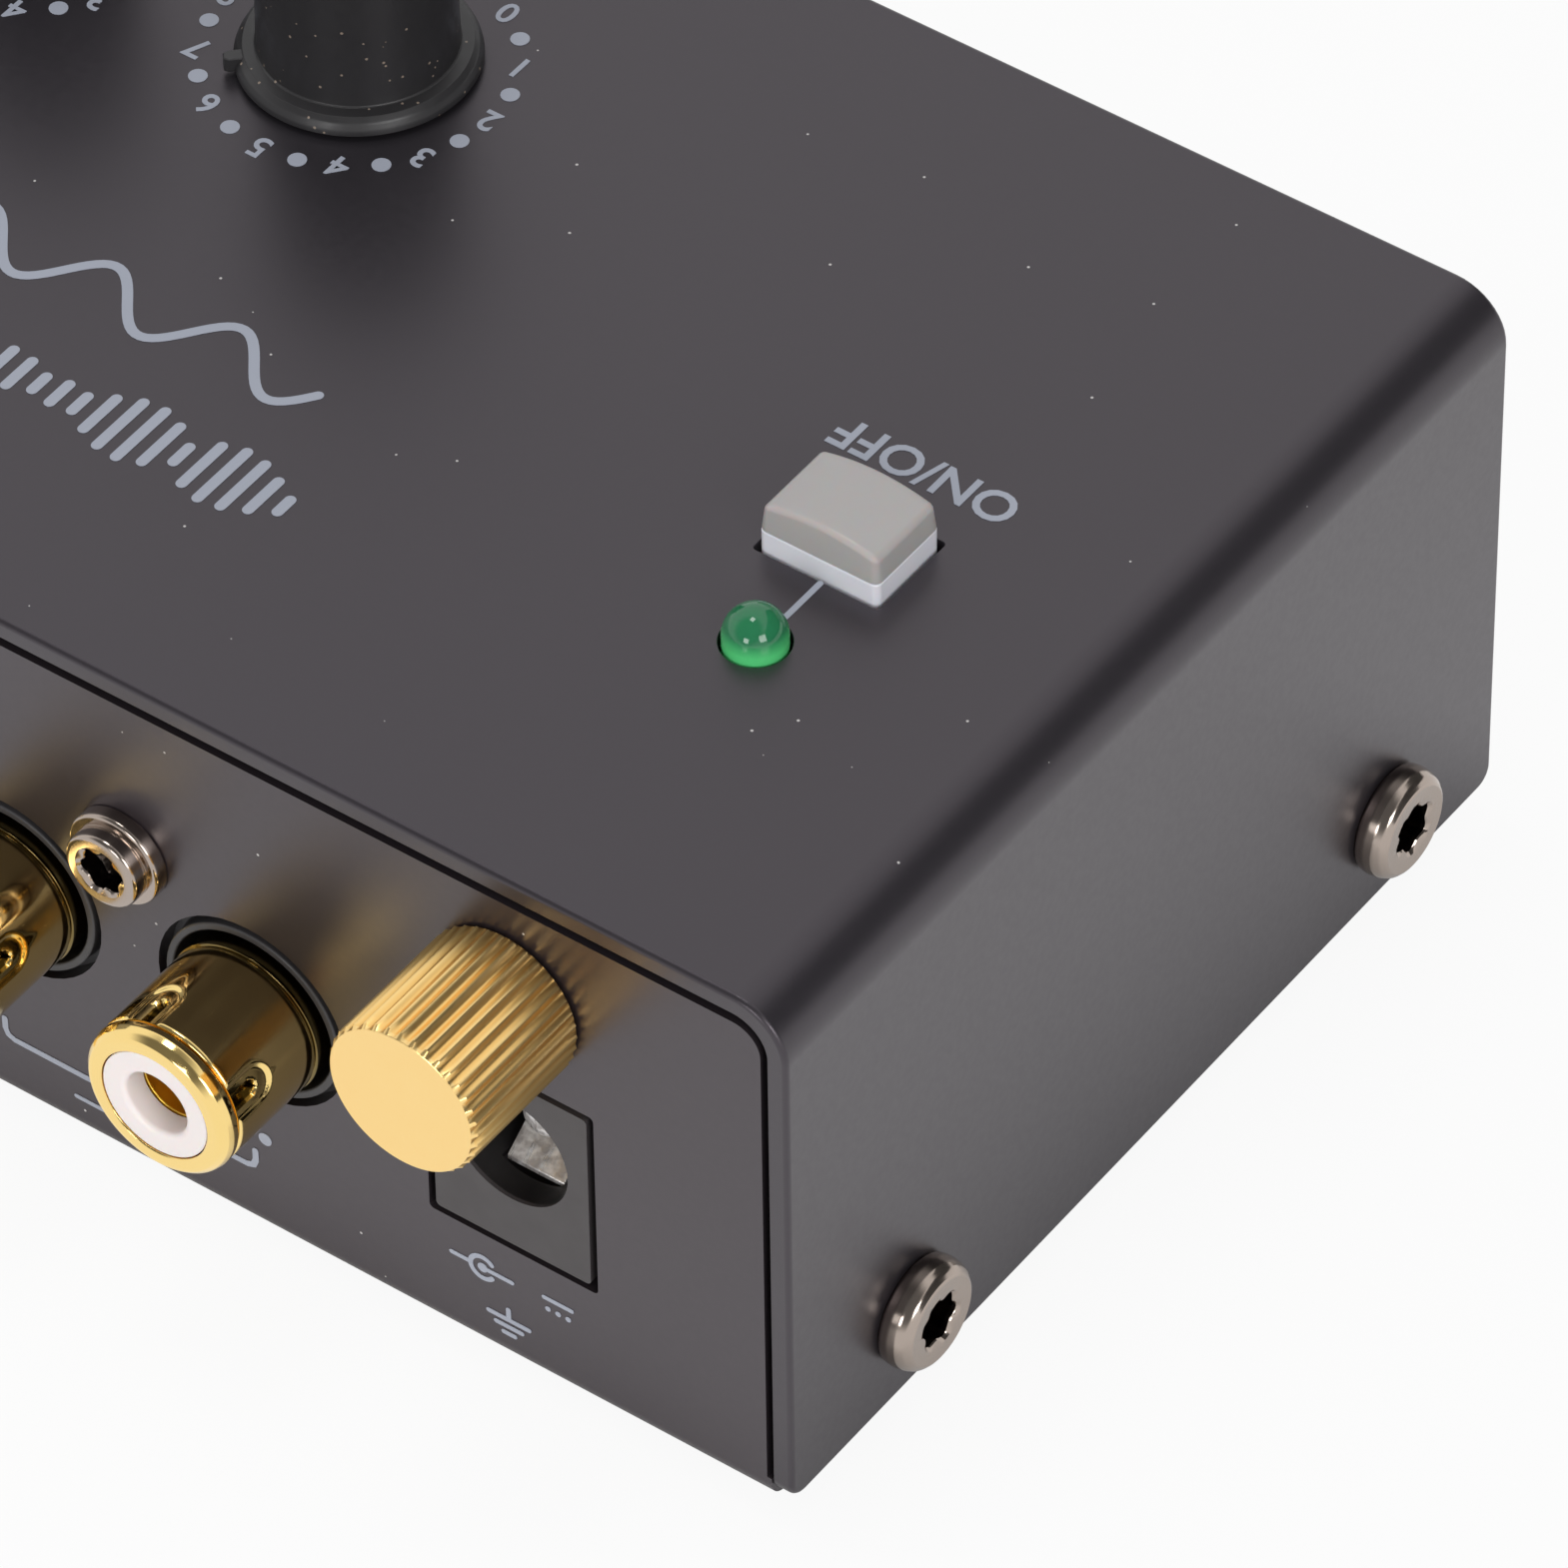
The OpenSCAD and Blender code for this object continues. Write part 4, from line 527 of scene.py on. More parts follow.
def add_star_screw(bm, place, outline, countersink_r, drive_d, depth, shank_r, length):
    """Head outline runs from the shank's top outward and up to the recess's rim; the
    recess's radii are shares of its own."""
    top = outline[-1][1]
    floor = top - depth
    recess = [(1.05, top - 0.09), (1.0, top - 0.16), (1.0, floor),
              (0.9, floor - 0.05), (0.3, floor - 0.09)]
    rings = lathe_rings(outline + [(countersink_r, top)], HEAD_SIDES)
    rings += lathe_rings(recess, HEAD_SIDES, star(drive_d))
    add_grid(bm, rings, place)
    count = round(length / THREAD_PITCH)
    threads = [(shank_r * 0.7, -length)]
    for i in range(count):
        z = -length + (i + 0.3) * length / count
        threads += [(shank_r, z), (shank_r, z + 0.1), (shank_r * 0.86, z + 0.28)]
    threads += [(shank_r, -0.05), (shank_r, 0.02)]
    add_grid(bm, lathe_rings(threads, SHANK_SIDES), place)


def side_screws():
    bm = bmesh.new()
    outline = rounded([(0.5, 0), (2.5, 0), (2.70, 0.2, 0.3), (SIDE_SCREW_R, 0.6, 0.7),
                       (2.69, 1.05, 0.7), (2.54, 1.40, 0.5), (2.32, 1.60, 0.15),
                       (2.20, 1.66, 0.03), (1.8, 1.62)], 8)
    for s in (-1, 1):
        for y, turn in zip(SIDE_SCREW_YS, (52, 17)):
            place = at(s * COVER_HI.x, y, SIDE_SCREW_Z)
            place = place @ Matrix.Rotation(math.radians(90 * s), 4, "Y") @ turned(turn)
            add_star_screw(bm, place, outline, countersink_r=1.5, drive_d=2.7, depth=1.4,
                           shank_r=1.46, length=5.2)
    finished("side_screws_turned", bm, "screw_nickel", CASE, ["side_screws"])


def panel_screws():
    bm = bmesh.new()
    outline = rounded([(0.5, 0), (2.45, 0, 0.12), (2.45, 0.8, 0.34), (1.92, 0.8, 0.02),
                       (1.98, 0.93, 0.05), (1.95, 1.7, 0.5), (1.36, 1.7)], 6)
    for x in (INPUT_X, -INPUT_X):
        add_star_screw(bm, out_of_rear(x, PANEL_SCREW_Z) @ turned(12), outline,
                       countersink_r=1.34, drive_d=2.4, depth=1.1, shank_r=1.26, length=7.0)
    finished("rca_panel_screws_turned", bm, "screw_nickel", CASE, ["rca_panel_screws"])


# ---- Phono sockets ----

# Radii, and heights over the panel
SHELL_R, SHELL_IN_R, COLLAR_R, GROOVE_R, RIM_GROOVE_R = 3.95, 2.9, 4.0, 3.84, 3.54
SOCKET_ROOT, COLLAR_END, BARREL_START, RIM_START, SOCKET_L = -6.0, 0.5, 0.72, 6.05, 7.0
FACE_IN_R = 2.95
INSULATOR_R, PIN_BORE_R, CONTACT_R = 2.85, 1.65, 1.95
INSULATOR_FACE, CONTACT_TIP, CONTACT_END = 6.92, 5.5, -10.5
DIMPLE_ANGLES = [math.radians(a) for a in (20, 110, 200, 290)]
DIMPLE_START, DIMPLE_END = 3.4, 5.88
DIMPLE_HALF_W, DIMPLE_DEPTH, DIMPLE_WALL = 1.02, 0.14, 0.24
PIT_START, PIT_HALF_W, PIT_DEPTH, PIT_WALL = 4.3, 0.42, 0.6, 0.12


def pressed(across, z, start, half_w, depth, wall):
    """Depth of a round-ended pressing, its wall easing in and out."""
    edge = half_w - math.hypot(across, max(start + half_w - z, 0.0))
    t = min(max(edge / wall, 0.0), 1.0)
    return depth * t * t * (3 - 2 * t)


def dimpled(a, r, z):
    """Radius of the barrel's outside with its four pressed tongues, each open at its end."""
    if not (DIMPLE_START < z < DIMPLE_END and r > SHELL_IN_R + 0.6):
        return r
    for spot in DIMPLE_ANGLES:
        across = SHELL_R * ((a - spot + math.pi) % (2 * math.pi) - math.pi)
        deep = pressed(across, z, DIMPLE_START, DIMPLE_HALF_W, DIMPLE_DEPTH, DIMPLE_WALL)
        deep += pressed(across, z, PIT_START, PIT_HALF_W, PIT_DEPTH, PIT_WALL)
        r = min(r, SHELL_R - deep)
    return r


def sockets(side, x0):
    shells, whites, contacts = bmesh.new(), bmesh.new(), bmesh.new()
    shell = rounded([(SHELL_IN_R, SOCKET_ROOT), (COLLAR_R, SOCKET_ROOT),
                     (COLLAR_R, COLLAR_END, 0.05), (GROOVE_R, COLLAR_END + 0.06, 0.02),
                     (GROOVE_R, BARREL_START - 0.04, 0.02), (SHELL_R, BARREL_START, 0.05),
                     (SHELL_R, DIMPLE_START - 0.05), (SHELL_R, DIMPLE_END + 0.02, 0.22),
                     (RIM_GROOVE_R, DIMPLE_END + 0.1, 0.02),
                     (RIM_GROOVE_R, RIM_START - 0.02, 0.02), (SHELL_R, RIM_START, 0.1),
                     (SHELL_R, SOCKET_L - 0.62, 0.3), (SHELL_R - 0.1, SOCKET_L - 0.28, 0.4),
                     (SHELL_R - 0.36, SOCKET_L - 0.03, 0.2), (SHELL_R - 0.55, SOCKET_L, 0.2),
                     (FACE_IN_R, SOCKET_L, 0.04), (SHELL_IN_R, SOCKET_L - 0.05, 0.04),
                     (SHELL_IN_R, SOCKET_L - 1)], 6)
    shell = dense(shell, 0.1, DIMPLE_START - 0.1, DIMPLE_END + 0.1)
    throat_r = CONTACT_R + 0.05
    white = rounded([(throat_r, SOCKET_ROOT), (INSULATOR_R, SOCKET_ROOT),
                     (INSULATOR_R, INSULATOR_FACE, 0.06), (PIN_BORE_R, INSULATOR_FACE, 0.32),
                     (PIN_BORE_R, CONTACT_TIP + 0.1, 0.03), (throat_r, CONTACT_TIP + 0.1)], 8)
    contact = rounded([(0.3, CONTACT_END), (CONTACT_R, CONTACT_END, 0.1),
                       (CONTACT_R, CONTACT_TIP, 0.08), (PIN_BORE_R, CONTACT_TIP, 0.08),
                       (PIN_BORE_R, CONTACT_END + 1, 0.1), (0.3, CONTACT_END + 1)], 3)
    for s in (-1, 1):
        place = out_of_rear(x0 + s * RCA_HALF_PITCH, RCA_Z)
        add_tube(shells, lathe_rings(shell, 240, dimpled), place)
        add_tube(whites, lathe_rings(white, 96), place)
        add_grid(contacts, lathe_rings(contact, 64), place)
    for part, bm, slot in (("shells", shells, "socket_gold"),
                           ("insulators", whites, "socket_white"),
                           ("contacts", contacts, "contact_gold")):
        finished(f"rca_{side}_{part}_formed", bm, slot, CASE, [f"rca_{side}_{part}"], 40)


# ---- Ground terminal ----

FLUTES, FLUTE_DEPTH = 36, 0.2
FLUTE_START, FLUTE_STOP = 0.16, 0.3   # heights over the nut's foot and under its face
NUT_FACE_R = 3.75
STUD_HOLE_R, STUD_HOLE_L = 2.0, 6.55
WASHER_SEAT_R, WASHER_SEAT_L = 3.3, 0.5


def fluted(a, q, z):
    """Radius of the nut's side, with rounded flutes all round."""
    if q < NUT_R - 0.02:
        return q
    return q - FLUTE_DEPTH * (0.5 - 0.5 * math.cos(a * FLUTES)) ** 0.8


def ground_nut():
    bm = bmesh.new()
    length = NUT_HI.y - NUT_LO.y
    count = FLUTES * 12
    inside = [(0.4, STUD_HOLE_L), (STUD_HOLE_R, STUD_HOLE_L), (STUD_HOLE_R, WASHER_SEAT_L),
              (WASHER_SEAT_R, WASHER_SEAT_L), (WASHER_SEAT_R, 0.08), (WASHER_SEAT_R + 0.1, 0.0)]
    rings = lathe_rings(inside + [(NUT_FACE_R - 0.05, 0.0), (NUT_FACE_R, 0.02)], count)
    fluted_l = length - FLUTE_STOP - FLUTE_START
    side = [(NUT_R, FLUTE_START + fluted_l * i / 12) for i in range(13)]
    rings += lathe_rings(side, count, fluted)
    rings += lathe_rings([(NUT_FACE_R - 0.01, length - 0.03), (NUT_FACE_R - 0.05, length),
                          (NUT_FACE_R - 0.25, length), (0.4, length)], count)
    add_grid(bm, rings, out_of_rear(NUT.x, NUT.z, NUT_LO.y))
    finished("ground_nut_fluted", bm, "terminal_brass", "ground_thumb_nut",
             ["ground_nut"], 24)


# ---- Dials ----

# Radii, and heights over the knob's foot
BORE_R, BORE_TOP = 3.02, 9.02
FLANGE_R, FLANGE_TOP = 5.7, 0.9
KNOB_TOP_R, KNOB_H = 4.4, 13.0
DISH_R, DISH_FLOOR = 2.95, 12.75


def knob(name, body, x, mark, node):
    bm = bmesh.new()
    place = at(x, DIAL_Y, KNOB_Z) @ turned(mark_angle(mark) + 90)
    outline = rounded([(0.3, BORE_TOP), (BORE_R, BORE_TOP), (BORE_R, 0.0, 0.05),
                       (5.62, 0.0, 0.05), (FLANGE_R, 0.06, 0.05), (5.66, 0.3, 0.6),
                       (5.50, 0.62, 0.5), (5.26, 0.85, 0.05), (4.66, FLANGE_TOP, 0.12),
                       (KNOB_TOP_R, KNOB_H, 0.6), (3.2, KNOB_H, 0.15),
                       (DISH_R, DISH_FLOOR, 0.2), (0.3, DISH_FLOOR)], 8)
    add_grid(bm, lathe_rings(dense(outline, 0.6), 128), place)
    nub = [(4.7, -0.34), (5.95, -0.32), (6.17, -0.18), (6.17, 0.18), (5.95, 0.32), (4.7, 0.34)]
    add_prism(bm, nub, 0.02, 0.8, place)
    pointer = [(3.25, -0.25), (3.75, -0.25), (3.75, 0.25), (3.25, 0.25)]
    add_prism(bm, pointer, 12.6, 12.99, place)
    obj = finished(name, bm, "knob_plastic", body, [node], 40)
    add_bevel(obj, 0.05, 50)


# ---- Power button and lamp ----

def block_outline(w, d, r, steps):
    """Rectangle w by d with corners rounded by r."""
    pts = []
    for sx, sy, a0 in ((1, 1, 0), (-1, 1, 90), (-1, -1, 180), (1, -1, 270)):
        for i in range(steps + 1):
            a = math.radians(a0 + 90 * i / steps)
            pts.append((sx * (w / 2 - r) + r * math.cos(a), sy * (d / 2 - r) + r * math.sin(a)))
    return pts


BASE_CORNER_R = 0.36
CAP_CORNER_R, CAP_EDGE_R = 0.42, 0.28
CAP_CROWN, CAP_DRAFT = 0.5, 0.12   # fall of the curved top at both ends, lean of the sides


def button():
    w, d = BUTTON_HI.x - BUTTON_LO.x, BUTTON_HI.y - BUTTON_LO.y
    place = at(BUTTON.x, BUTTON.y, 0)
    bm = bmesh.new()
    add_prism(bm, block_outline(w, d, BASE_CORNER_R, 4), BUTTON_LO.z, BUTTON_HI.z - 0.03, place)
    base = finished("power_button_base_moulded", bm, "button_white",
                    "power_button", ["power_button_base"], 50)
    add_bevel(base, 0.06, 50)
    button_cap(w, d, place)


def button_cap(w, d, place):
    flat = block_outline(w, d, CAP_CORNER_R, 5)
    ring = dense(flat + [flat[0]], 0.25)[:-1]

    def at_height(points, drop):
        return [(x, y, CAP_HI.z - drop - CAP_CROWN * (2 * x / w) ** 2) for x, y in points]

    def pulled_in(v, half, e):
        """Moves v toward 0 by e, by less where it lies inside the corner's start."""
        share = max(min((abs(v) - half + CAP_CORNER_R) / CAP_CORNER_R, 1), 0)
        return v - e * share * math.copysign(1, v)

    def inset(e):
        return [(pulled_in(x, w / 2, e), pulled_in(y, d / 2, e)) for x, y in ring]

    low = CAP_LO.z + 0.03
    rows = [[(x, y, low) for x, y in ring],
            [(x, y, low + 0.3) for x, y in inset(CAP_DRAFT / 4)]]
    for i in range(7):
        a = math.radians(15 * i)
        rows.append(at_height(inset(CAP_DRAFT + CAP_EDGE_R * (1 - math.cos(a))),
                              CAP_EDGE_R * (1 - math.sin(a))))
    inner = inset(CAP_DRAFT + CAP_EDGE_R)
    for k in (0.85, 0.65, 0.45, 0.25, 0.06):
        rows.append(at_height([(x * k, y * k) for x, y in inner], 0.0))
    bm = bmesh.new()
    add_grid(bm, rows, place)
    finished("power_button_cap_moulded", bm, "button_grey", "power_button",
             ["power_button_cap"], 60)


def switch_spring():
    """The return spring, with its CAD shape."""
    bm = bmesh.new()
    bm.from_mesh(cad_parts["power_switch_spring"].data)
    coil = finished("power_switch_spring_wound", bm, "spring_steel", CASE,
                    ["power_switch_spring"], 60)
    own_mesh(coil)


LENS_R, LENS_STEP = 1.5, 1.05   # radius, and height over the foot where the flange ends


def lamp():
    bm = bmesh.new()
    dome = LED_HI.z - LED_LO.z - LENS_R
    outline = [(0.05, 0.0), (1.85, 0.0), (1.9, 0.05), (1.9, 0.95), (1.85, 1.0),
               (LENS_R, LENS_STEP)]
    outline += [(LENS_R, LENS_STEP + (dome - LENS_STEP) * i / 4) for i in range(1, 5)]
    outline += [(LENS_R * math.cos(a), dome + LENS_R * math.sin(a))
                for a in [math.radians(89.0 * i / 24) for i in range(1, 25)]]
    add_grid(bm, lathe_rings(outline, 96), at(LED.x, LED.y, LED_LO.z))
    finished("led_lens_cast", bm, "led_green", CASE, ["led_lens"], 50)


# ---- Print ----

INK_LOW, INK_TOP = 0.004, 0.03          # heights of the ink over the sheet
FINE, MIDDLE, BROAD = 0.24, 0.26, 0.5   # widths of its lines
DIGIT_HEIGHT = 0.73                     # as a share of the font's size


def add_stroke(bm, points, width, place, lift=0.0, closed=False):
    """One flat line with mitred joints and round ends, printed in local X and Y."""
    pts = [Vector(p) for p in points]
    half = width / 2
    cuts = []
    last = len(pts) - 1
    for i, p in enumerate(pts):
        before = pts[i - 1] if i or closed else None
        after = pts[(i + 1) % len(pts)] if i < last or closed else None
        a = (p - before).normalized() if before else None
        b = (after - p).normalized() if after else None
        u = ((a or b) + (b or a)).normalized()
        n = Vector((-u.y, u.x))
        cuts.append((p, n * half / max(0.5, u.dot(b or a))))
    if not closed:
        cuts = round_end(pts[0], pts[0] - pts[1], half)[::-1] + cuts
        cuts += round_end(pts[-1], pts[-1] - pts[-2], half, -1)
    z0, z1 = INK_LOW, INK_TOP + lift
    rings = [[(*(p + n), z0), (*(p + n), z1), (*(p - n), z1), (*(p - n), z0)]
             for p, n in cuts]
    if closed:
        add_tube(bm, rings, place)
    else:
        add_grid(bm, rings, place)


def round_end(tip, out, half, side=1):
    """Cross-sections of a line's round end, narrowing outward."""
    u = out.normalized()
    n = Vector((u.y, -u.x)) * side
    angles = [math.radians(a) for a in (20, 40, 58, 72, 84)]
    return [(tip + u * half * math.sin(a), n * half * math.cos(a)) for a in angles]


def add_disc(bm, x, y, r, place, lift=0.0):
    ring = [(x + r * math.cos(a), y + r * math.sin(a))
            for a in [2 * math.pi * i / 20 for i in range(20)]]
    add_prism(bm, ring, INK_LOW, INK_TOP + lift, place)


def add_words(bm, words, size, x, y, place, bold=0.03):
    """Digits or a switch's words, centred at x, y; size is their height in millimetres."""
    curve = bpy.data.curves.new("words", "FONT")
    curve.body = words
    curve.align_x, curve.align_y = "CENTER", "CENTER"
    curve.size = size / DIGIT_HEIGHT
    curve.offset = bold
    curve.extrude = INK_TOP / 2
    curve.resolution_u = 4
    holder = bpy.data.objects.new("words", curve)
    bpy.context.scene.collection.objects.link(holder)
    bpy.context.view_layer.update()
    mesh = holder.to_mesh()
    corners = [bm.verts.new(place @ (v.co + Vector((x, y, INK_TOP / 2))) * MM)
               for v in mesh.vertices]
    for face in mesh.polygons:
        try:
            bm.faces.new([corners[i] for i in face.vertices])
        except ValueError:
            pass
    holder.to_mesh_clear()
    bpy.data.objects.remove(holder)
    bpy.data.curves.remove(curve)


SCALE_R = 7.35   # circle on which the numbers and dots stand


def dial_print(bm, x):
    place = at(x, DIAL_Y, TOP_Z)
    for half in range(21):
        a = math.radians(mark_angle(half / 2))
        px, py = -SCALE_R * math.sin(a), SCALE_R * math.cos(a)
        if half % 2:
            add_disc(bm, px, py, 0.45, place)
        else:
            add_words(bm, str(half // 2), 1.35, px, py, place)


BAR_PITCH, BAR_COUNT, BARS_Y = 1.13, 44, 14.6
WAVE_Y, WAVE_HEIGHT, WAVE_LENGTH = 8.15, 1.5, 7.08
LED_LINE_X = -46.2   # line from the lamp to the button


def top_print():
    bm = bmesh.new()
    dial_print(bm, LEVEL_X)
    dial_print(bm, VOLUME_X)
    top = at(0, 0, TOP_Z)
    for i in range(BAR_COUNT):
        x = (i - (BAR_COUNT - 1) / 2) * BAR_PITCH
        swell = abs(math.sin(i * 0.62) * math.sin(i * 0.23 + 0.4)) ** 0.8
        h = 0.45 + 1.5 * swell
        add_stroke(bm, [(x, BARS_Y - h), (x, BARS_Y + h)], 0.55, top)
    wave = [(x / 4, WAVE_Y + WAVE_HEIGHT * math.sin(x / 4 * 2 * math.pi / WAVE_LENGTH))
            for x in range(-85, 86)]
    add_stroke(bm, wave, BROAD, top)
    add_words(bm, "ON/OFF", 1.92, BUTTON.x, -3.4, top, 0.045)
    add_stroke(bm, [(LED_LINE_X, LED.y - 1.95), (LED_LINE_X, BUTTON_HI.y + 0.3)], 0.3, top)
    finished("top_print", bm, None, CASE, material=INK)


# Distances from the middle of the rear panel, and heights over its lower edge
BRACKET_NEAR, BRACKET_FAR, SOCKET_SIGN_X = 17.2, 31.3, 24.2
BRACKET_FOOT, BRACKET_BEND, BRACKET_MITRE, BRACKET_TOP = 3.4, 3.9, 3.55, 4.5
DOTS_Y, DOT_R, DOT_PITCH = 5.6, 0.36, 1.2
SOCKET_SIGN_Y, EARTH_SIGN_Y, JACK_SIGN_Y = 1.85, 2.0, 5.0
INLET_SIGN_X, INLET_SIGN_Y = 47.95, 4.75


def rear_print():
    """Local X runs to the viewer's right, local Y up."""
    bm = bmesh.new()
    place = at(0, REAR_Y, FOOT_H) @ turned(180)
    place = place @ Matrix.Rotation(math.radians(90), 4, "X")
    for side in (1, -1):
        a, b, c = side * BRACKET_NEAR, side * BRACKET_FAR, side * 0.5
        add_stroke(bm, [(a, BRACKET_TOP), (a, BRACKET_BEND), (a + 0.29 * c, BRACKET_MITRE),
                        (a + c, BRACKET_FOOT), (b - c, BRACKET_FOOT),
                        (b - 0.29 * c, BRACKET_MITRE), (b, BRACKET_BEND), (b, BRACKET_TOP)],
                   0.33, place)
        for count, x in ((1, a), (2, b)):
            for i in range(count):
                add_disc(bm, x + (i - (count - 1) / 2) * DOT_PITCH, DOTS_Y, DOT_R, place)
        socket_sign(bm, side * SOCKET_SIGN_X, SOCKET_SIGN_Y, side, place)
    inlet_signs(bm, INLET_SIGN_X, INLET_SIGN_Y, place)
    earth_sign(bm, -DC_X - 0.4, EARTH_SIGN_Y, place)
    jack_sign(bm, -TRS_X, JACK_SIGN_Y, place)
    finished("rear_print", bm, None, CASE, material=INK)


def socket_sign(bm, x, y, side, place):
    """Arrow into a small ring, or out of it where side is -1."""
    ring = [(x + 1.1 * math.cos(a), y + 0.75 * math.sin(a))
            for a in [2 * math.pi * i / 24 for i in range(24)]]
    add_stroke(bm, ring, FINE, place, closed=True)
    tail, tip = (x - 3.1, x - 0.1)[::side]
    barb = tip - 0.7 * side
    add_stroke(bm, [(tail, y), (tip, y)], FINE, place, 0.002)
    add_stroke(bm, [(barb, y + 0.5), (tip, y), (barb, y - 0.5)], FINE, place, 0.004)


def inlet_signs(bm, x, y, place):
    """Direct-current sign at x, beside a plug's pin and sleeve."""
    add_stroke(bm, [(x - 0.75, y + 0.2), (x + 0.75, y + 0.2)], FINE, place)
    for i in (-1, 0, 1):
        add_disc(bm, x + 0.55 * i, y - 0.45, 0.15, place)
    cx, sleeve_r = x - 4.1, 0.66
    arc = [(cx + sleeve_r * math.cos(a), y + sleeve_r * math.sin(a))
           for a in [math.radians(40 + 280 * i / 24) for i in range(25)]]
    add_stroke(bm, arc, MIDDLE, place)
    add_disc(bm, cx, y, 0.27, place, lift=0.002)
    add_stroke(bm, [(cx, y), (cx + 1.6, y)], FINE, place, 0.004)
    add_stroke(bm, [(cx - 1.7, y), (cx - sleeve_r, y)], FINE, place, 0.002)


def earth_sign(bm, x, y, place):
    add_stroke(bm, [(x, y + 0.85), (x, y + 0.2)], MIDDLE, place)
    for w, h in ((1.1, 0.2), (0.7, -0.25), (0.3, -0.7)):
        add_stroke(bm, [(x - w, y + h), (x + w, y + h)], MIDDLE, place, 0.002)


def jack_sign(bm, x, y, place):
    """Plug in outline."""
    add_stroke(bm, [(x - 3.2, y - 0.6), (x - 1.0, y - 0.6), (x - 1.0, y + 0.6),
                    (x - 3.2, y + 0.6)], MIDDLE, place, closed=True)
    add_stroke(bm, [(x - 1.0, y), (x + 2.2, y)], BROAD, place, 0.002)
    add_stroke(bm, [(x + 2.7, y), (x + 2.9, y)], BROAD, place)


# ---- Pieces that keep their CAD shape, some with rounded edges ----

BEND_R = 2.8        # outer radius of the cover's bends
SHEET_EDGE = 0.28   # rounding of its outer sheet edges


def cover():
    """The folded cover; its outer sheet edges are rounder than the rest."""
    bm = copied("top_cover")
    end, low = COVER_HI.y - 0.05, COVER_LO.z + 1.1

    def outside(v):
        x, y, z = (abs(c / MM) for c in v.co)
        bend = math.hypot(max(x - (COVER_HI.x - BEND_R), 0), max(z - (TOP_Z - BEND_R), 0))
        flat = x > COVER_HI.x - 0.01 or z > TOP_Z - 0.01
        return (flat or bend > BEND_R - 0.02) and (y > end or z < low)

    rim = [e for e in bm.edges if outside(e.verts[0]) and outside(e.verts[1])
           and len(e.link_faces) == 2 and e.calc_face_angle(0.0) > math.radians(45)]
    bmesh.ops.bevel(bm, geom=rim, offset=SHEET_EDGE * MM, segments=4, profile=0.5,
                    affect="EDGES", clamp_overlap=True)
    obj = finished("top_cover_dressed", bm, "case_paint", CASE, ["top_cover"], 40)
    add_bevel(obj, 0.08, 40)


DRESSED = {
    "chassis": ("chassis_paint", 0.1),
    "feet": ("foot_rubber", 0.05),
    "rca_input_block": ("socket_plastic", 0.08),
    "rca_output_block": ("socket_plastic", 0.08),
    "dc_jack_housing": ("inlet_plastic", 0.08),
    "dc_jack_leaf": ("contact_tin", 0.04),
    "trs_jack_housing": ("jack_black", 0.15),
    "trs_jack_washer": ("zinc_steel", 0.08),
    "trs_jack_nut": ("zinc_steel", 0.08),
}
KEPT = {
    "clinch_nuts": "zinc_steel", "main_board": "circuit_board",
    "board_standoffs": "zinc_steel", "board_screws": "screw_nickel",
    "dc_jack_pin": "contact_tin", "dc_jack_terminals": "contact_tin",
    "ground_stud": "terminal_brass", "ground_stud_nut": "terminal_brass",
    "ground_tag": "contact_tin", "ground_wire": "wire_green",
    "ground_washer": "terminal_brass", "trs_jack_springs": "contact_tin",
    "level_pot_case": "pot_base", "level_pot_cover": "pot_metal",
    "level_pot_shaft": "shaft_alloy", "level_pot_wiper": "wiper_brass",
    "volume_pot_case": "pot_base", "volume_pot_cover": "pot_metal",
    "volume_pot_shaft": "shaft_alloy", "volume_pot_wiper": "wiper_brass",
    "power_switch_case": "switch_black",
    "power_switch_plunger": "button_white", "led_spacer": "switch_black",
    "led_leads": "contact_tin", "opamp_chips": "chip_black",
    "electrolytic_capacitors": "capacitor_sleeve", "film_capacitors": "film_red",
    "resistors": "resistor_blue", "voltage_regulator": "chip_black",
    "input_choke": "chip_black",
}


def keep(node, slot):
    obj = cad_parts[node]
    obj.data.materials.clear()
    obj.data.materials.append(MATERIALS[slot])


# ---- Studio ----

WORLD_LEVEL = 0.7
SEEN_WHITE = 0.985                # of the walls, for the camera and in reflections
DARK_TOWARD = (0.0, 0.64, 0.77)   # the unlit part of the room, behind and above the lamps
CEILING_SHADE = 0.18              # what reflections see there
# Name, place and size in metres, radiance where 1 is the level of the surroundings
LAMPS = [("left", (-0.85, 0.41, 0.48), 0.40, 6.5),
         ("above", (0.12, 0.0, 1.05), 0.24, 8.0),
         ("behind", (-0.12, 0.98, 0.34), 0.28, 8.0)]
FLOOR_SIZE, FLAG_SIZE = (8, 8), (1.1, 0.46)
FOOT_SHADE_REACH = 15.0           # mm out from the case's sides over which the painted shadow fades
FLAG_AWAY, FLAG_HEIGHT, FLAG_TOWARD = 0.42, 0.32, math.radians(220)


def floor_material():
    """Pale floor: the camera and reflections see it near white, with a soft shadow: real, and
    in reflections beside the case also painted.
    """
    s = Shader("studio_floor", Roughness=0.9)
    s.color(s.mix(s.noise(4.0), grey(0.86), grey(0.88)))
    glow = s.node("ShaderNodeEmission", {"Color": grey(0.995), "Strength": 1.0})
    both = s.node("ShaderNodeMixShader", {0: s.seen_by(0.92, painted_foot_shadow(s)),
                                          1: s.bsdf.outputs[0], 2: glow.outputs[0]})
    s.tree.links.new(both.outputs[0], s.tree.nodes["Material Output"].inputs["Surface"])
    return s.material


